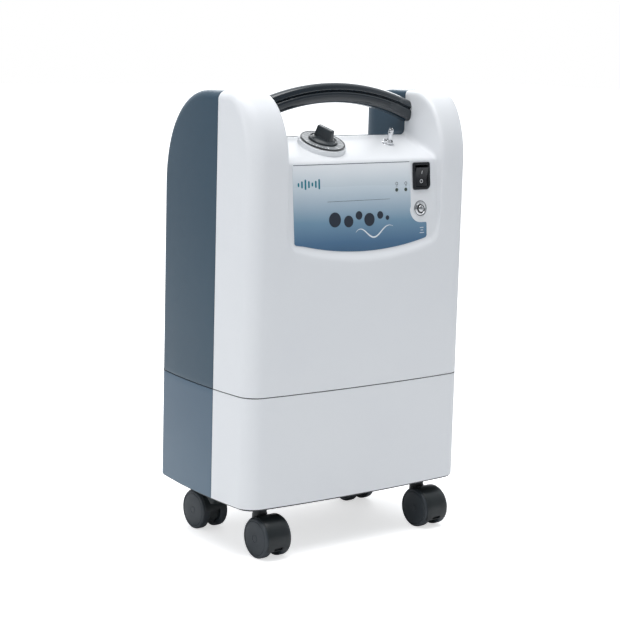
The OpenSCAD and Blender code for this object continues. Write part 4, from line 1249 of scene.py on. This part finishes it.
rear = {"flange": 132, "proud": 4.8, "foam": 107.2, "meter": (39, 21), "inlet": (50, 28),
        "vent": (110, 58), "ventSlots": 9, "ventPitch": 10.4, "screws": [(150, 240), (150, 420), (84, 300), (150, 88),
                                                                        (150, 190)]}


def slatTree():
    # a row of slats, leaned over, along local x
    tree, gin, node, maths = startTree("slatRow", [
        ("Count", "Int", 9), ("Pitch", "Float", 0.0104), ("Length", "Float", 0.04), ("Width", "Float", 0.001),
        ("Depth", "Float", 0.004), ("Lean", "Float", 0.5), ("Seed", "Int", 3)])
    span = maths("MULTIPLY", maths("SUBTRACT", 1, gin["Count"]), gin["Pitch"])
    start = node("ShaderNodeCombineXYZ", X=maths("MULTIPLY", span, 0.5))
    step = node("ShaderNodeCombineXYZ", X=gin["Pitch"])
    line = node("GeometryNodeMeshLine", Count=gin["Count"], Start_Location=start.outputs[0], Offset=step.outputs[0])
    size = node("ShaderNodeCombineXYZ", X=gin["Width"], Y=gin["Length"], Z=gin["Depth"])
    slat = node("GeometryNodeMeshCube", Size=size.outputs[0])
    lean = node("ShaderNodeCombineXYZ", Y=gin["Lean"])
    return endTree(tree, gin, node("GeometryNodeInstanceOnPoints", Points=line.outputs[0], Instance=slat.outputs[0],
                                   Rotation=lean.outputs[0]))


def screwTree():
    # one screw head on every point of the modified mesh, each turned at random
    tree, gin, node, maths = startTree("screwSet", [
        ("Head", "Object", None), ("Turn", "Float", 1.2), ("Seed", "Int", 11)])
    info = node("GeometryNodeObjectInfo", Object=gin["Head"])
    chance = node("FunctionNodeRandomValue", Seed=gin["Seed"])
    tree.links.new(gin["Turn"], chance.inputs[3])
    turn = node("ShaderNodeCombineXYZ", Z=chance.outputs[1])
    return endTree(tree, gin, node("GeometryNodeInstanceOnPoints", Points=gin[0], Instance=info.outputs["Geometry"],
                                   Rotation=turn.outputs[0]))


slatRow, screwSet = slatTree(), screwTree()
flatPlace = ((0, 0, 0), (1, 0, 0), (0, 1, 0), (0, 0, 1))


def screwHead(name, radius, high, cross):
    dome = [(0, -0.4), (radius, -0.4), (radius, high * 0.3), (radius * 0.93, high * 0.62), (radius * 0.7, high * 0.9),
            (0, high)]
    head = revolve(name, dome, flatPlace, steel, 36)
    for turn in (0, 1):
        bar = roundedBox(cross, cross * 0.26, cross * 0.08, 2)
        bar = [(y, x) for x, y in bar][::-1] if turn else bar
        cutBy(head, slab("crossCutter", bar, high * 0.35, high + 2, flatPlace, steel))
    return head


def setScrews(name, head, spots, turn):
    # spots are local (x, y) in millimetres; the set is made flat, then moved to its place by the caller
    obj = addObject(name, bpy.data.meshes.new(name))
    obj.data.from_pydata([(x * mm, y * mm, 0) for x, y in spots], [], [])
    return runTree(obj, screwSet, {"Head": head, "Turn": turn, "Paint": steel})


def makeRear():
    r = rear
    place = rearPlace(*filterAt)
    window = roundedBox(108.4, 108.4, 2.5, 4)
    flange = slab("filterFlange", roundedBox(r["flange"], r["flange"], 7, 6), 0, r["proud"], place, frameSkin, [window])
    roundEdges(flange, 1.3 * mm, 3, 50)
    well = slab("filterWell", roundedBox(115.6, 115.6, 1.5, 3), -9, 0, place, frameSkin, [window])
    grid = slab("filterGrid", roundedBox(115.6, 115.6, 1.5, 3), -12, -9, place, frameSkin,
                [[(i * 14 - 5, -48), (i * 14 + 5, -48), (i * 14 + 5, 48), (i * 14 - 5, 48)] for i in range(-3, 4)])
    finishPiece(mergeObjects("filterFrame", [flange, well, grid]), "cabinet", "cover_slate", "filter_frame")
    block = slab("foamBlock", roundedBox(r["foam"], r["foam"], 2, 4), -8.8, 2.2, place, foamSkin)
    roundEdges(block, 1.2 * mm, 2, 50)
    tab = slab("foamTab", roundedBox(26, 8, 3, 4), 2.0, 4.3, placedBy(place, 0, 44, 0), foamTabSkin)
    roundEdges(tab, 0.7 * mm, 2, 50)
    finishPiece(mergeObjects("cabinetFilter", [block, tab]), "cabinet_filter", "filter_foam", "cabinet_filter")

    place = rearPlace(*meterAt)
    w, h = r["meter"]
    bezel = slab("meterBezel", roundedBox(w, h, 2.5, 5), 0, 1.6, place, blackGloss, [roundedBox(30, 11, 1.2, 3)])
    roundEdges(bezel, 0.5 * mm, 2, 50)
    case = slab("meterCase", roundedBox(33.6, 15.6, 1, 2), -19.5, 0.3, place, blackGloss)
    parts = [bezel, case]
    for i, figure in enumerate("000417"):
        drum = slab("drum%d" % i, roundedBox(4.0, 8.4, 0.4, 2), 0.3, 0.7, placedBy(place, -11.5 + 4.6 * i, 0, 0),
                    dialWhite if i == 5 else dialBlack)
        mark = raisedText("digit%d" % i, figure, 6.2, 0.1, dialBlack if i == 5 else dialWhite)
        toPlace(mark, placedBy(place, -11.5 + 4.6 * i, 0, 0.74))
        parts += [drum, mark]
    finishPiece(mergeObjects("hourMeter", parts), "cabinet", "black_plastic", "hour_meter")

    place = rearPlace(*inletAt)
    w, h = r["inlet"]
    plate = slab("inletPlate", roundedBox(w, h, 3, 6), 0, 2, place, blackGloss, [roundedBox(24.6, 17, 2, 5)])
    roundEdges(plate, 0.5 * mm, 2, 50)
    shroud = slab("inletShroud", roundedBox(31.6, 23.6, 2, 4), -18, 0, place, blackGloss, [roundedBox(24.6, 17, 2, 5)])
    floor = slab("inletFloor", roundedBox(31.6, 23.6, 2, 4), -22, -18, place, blackGloss)
    parts = [plate, shroud, floor]
    for px, py in ((-7, -2), (0, 2), (7, -2)):
        blade = slab("inletBlade", roundedBox(2, 4, 0.5, 2), -18, -7, placedBy(place, px, py, 0), steel)
        parts.append(roundEdges(blade, 0.3 * mm, 2, 50))
    small = screwHead("inletScrewHead", 2.9, 1.3, 3.4)
    pair = setScrews("inletScrews", small, [(-20, 0), (20, 0)], 1.2)
    bpy.data.objects.remove(small)
    parts.append(toPlace(pair, placedBy(place, 0, 0, 1.9)))
    finishPiece(mergeObjects("powerInlet", parts), "cabinet", "black_plastic", "power_inlet")

    place = rearPlace(*ventAt)
    w, h = r["vent"]
    slots = []
    for i in range(r["ventSlots"]):
        x = (i - (r["ventSlots"] - 1) / 2) * r["ventPitch"]
        slots.append([(x + a, b) for a, b in roundedBox(5.2, 40, 2.3, 4)])
    grille = slab("ventPlate", roundedBox(w, h, 4, 6), 0, 1.6, place, gasketSkin, slots)
    roundEdges(grille, 0.5 * mm, 2, 50)
    back = slab("ventBack", roundedBox(100, 48, 2, 4), -2, 0, place, gasketSkin, slots)
    slats = addObject("ventSlats", bpy.data.meshes.new("ventSlats"))
    runTree(slats, slatRow, {"Count": r["ventSlots"], "Pitch": r["ventPitch"] * mm, "Length": 40 * mm,
                             "Width": 1.0 * mm, "Depth": 4.2 * mm, "Lean": 0.75, "Paint": gasketSkin})
    toPlace(slats, placedBy(place, 0, 0, -0.9))
    finishPiece(mergeObjects("exhaustGrille", [grille, back, slats]), "cabinet", "black_plastic", "exhaust_grille")

    head = screwHead("coverScrewHead", 3.6, 1.9, 4.6)
    spots = [(s * x, z) for x, z in r["screws"] for s in (-1, 1)]
    screws = setScrews("coverScrews", head, [(-x, z) for x, z in spots], 1.5)
    bpy.data.objects.remove(head)
    toPlace(screws, rearPlace(0, 0))
    shanks = [revolve("screwShank", [(0, -9), (1.9, -9), (1.9, 0.2), (0, 0.2)], rearPlace(x, z), steel, 16)
              for x, z in spots]
    finishPiece(mergeObjects("coverScrews", [screws] + shanks), "cabinet", "steel", "cover_screws")


def foamMaterial():
    # open-cell foam: small dark pores in a matt skin
    material, tree, shader, place = startMaterial("foamSkin")
    cells = addNode(tree, "TexVoronoi", [(place.outputs["Object"], "Vector")], Scale=520.0)
    tone = addNode(tree, "TexNoise", [(place.outputs["Object"], "Vector")], Scale=24.0, Detail=4.0)
    mixed = addNode(tree, "Math", [(cells.outputs["Distance"], 0), (tone.outputs["Fac"], 1)], operation="MULTIPLY")
    ramp = tree.nodes.new("ShaderNodeValToRGB")
    ramp.color_ramp.elements[0].color = (0.030, 0.032, 0.035, 1)
    ramp.color_ramp.elements[0].position = 0.08
    ramp.color_ramp.elements[1].color = (0.004, 0.004, 0.005, 1)
    ramp.color_ramp.elements[1].position = 0.42
    tree.links.new(mixed.outputs[0], ramp.inputs["Fac"])
    tree.links.new(ramp.outputs["Color"], shader.inputs["Base Color"])
    shader.inputs["Roughness"].default_value = 0.95
    shader.inputs["Specular IOR Level"].default_value = 0.15
    addBump(tree, shader, cells.outputs["Distance"], 0.9, 0.0012)
    return material


foamSkin = foamMaterial()
foamTabSkin = plastic("foamTabSkin", (0.02, 0.021, 0.023), (0.03, 0.031, 0.034), rough=0.8, grain=600, bump=0.5)
makeRear()
print("rear fittings made")

carried = {
    "seam_gasket": gasketSkin, "base_tray": chassisPaint, "middle_deck": chassisPaint, "handle_brackets": steel,
    "flow_valve": brass, "fan_frame": gasketSkin, "fan_impeller": knobSkin, "sieve_beds": aluminium,
    "bed_caps": ironCast, "product_tank": aluminium, "valve_manifold": brass, "bacteria_filter": filterWhite,
    "heat_exchanger": copper, "control_board": boardGreen, "intake_silencer": knobSkin,
    "compressor_motor": ironCast, "compressor_heads": aluminium, "compressor_rotor": steel,
    "compressor_mounts": gasketSkin, "run_capacitor": aluminium, "oxygen_hose": hoseSkin, "caster_sockets": steel,
}
for key in caster["stems"]:
    carried["caster_%s_pins" % key] = steel


def dressNodes():
    for name, material in carried.items():
        node = nodes[name]
        node.data.materials.clear()
        node.data.materials.append(material)


dressNodes()
print("carried nodes dressed:", len(carried))
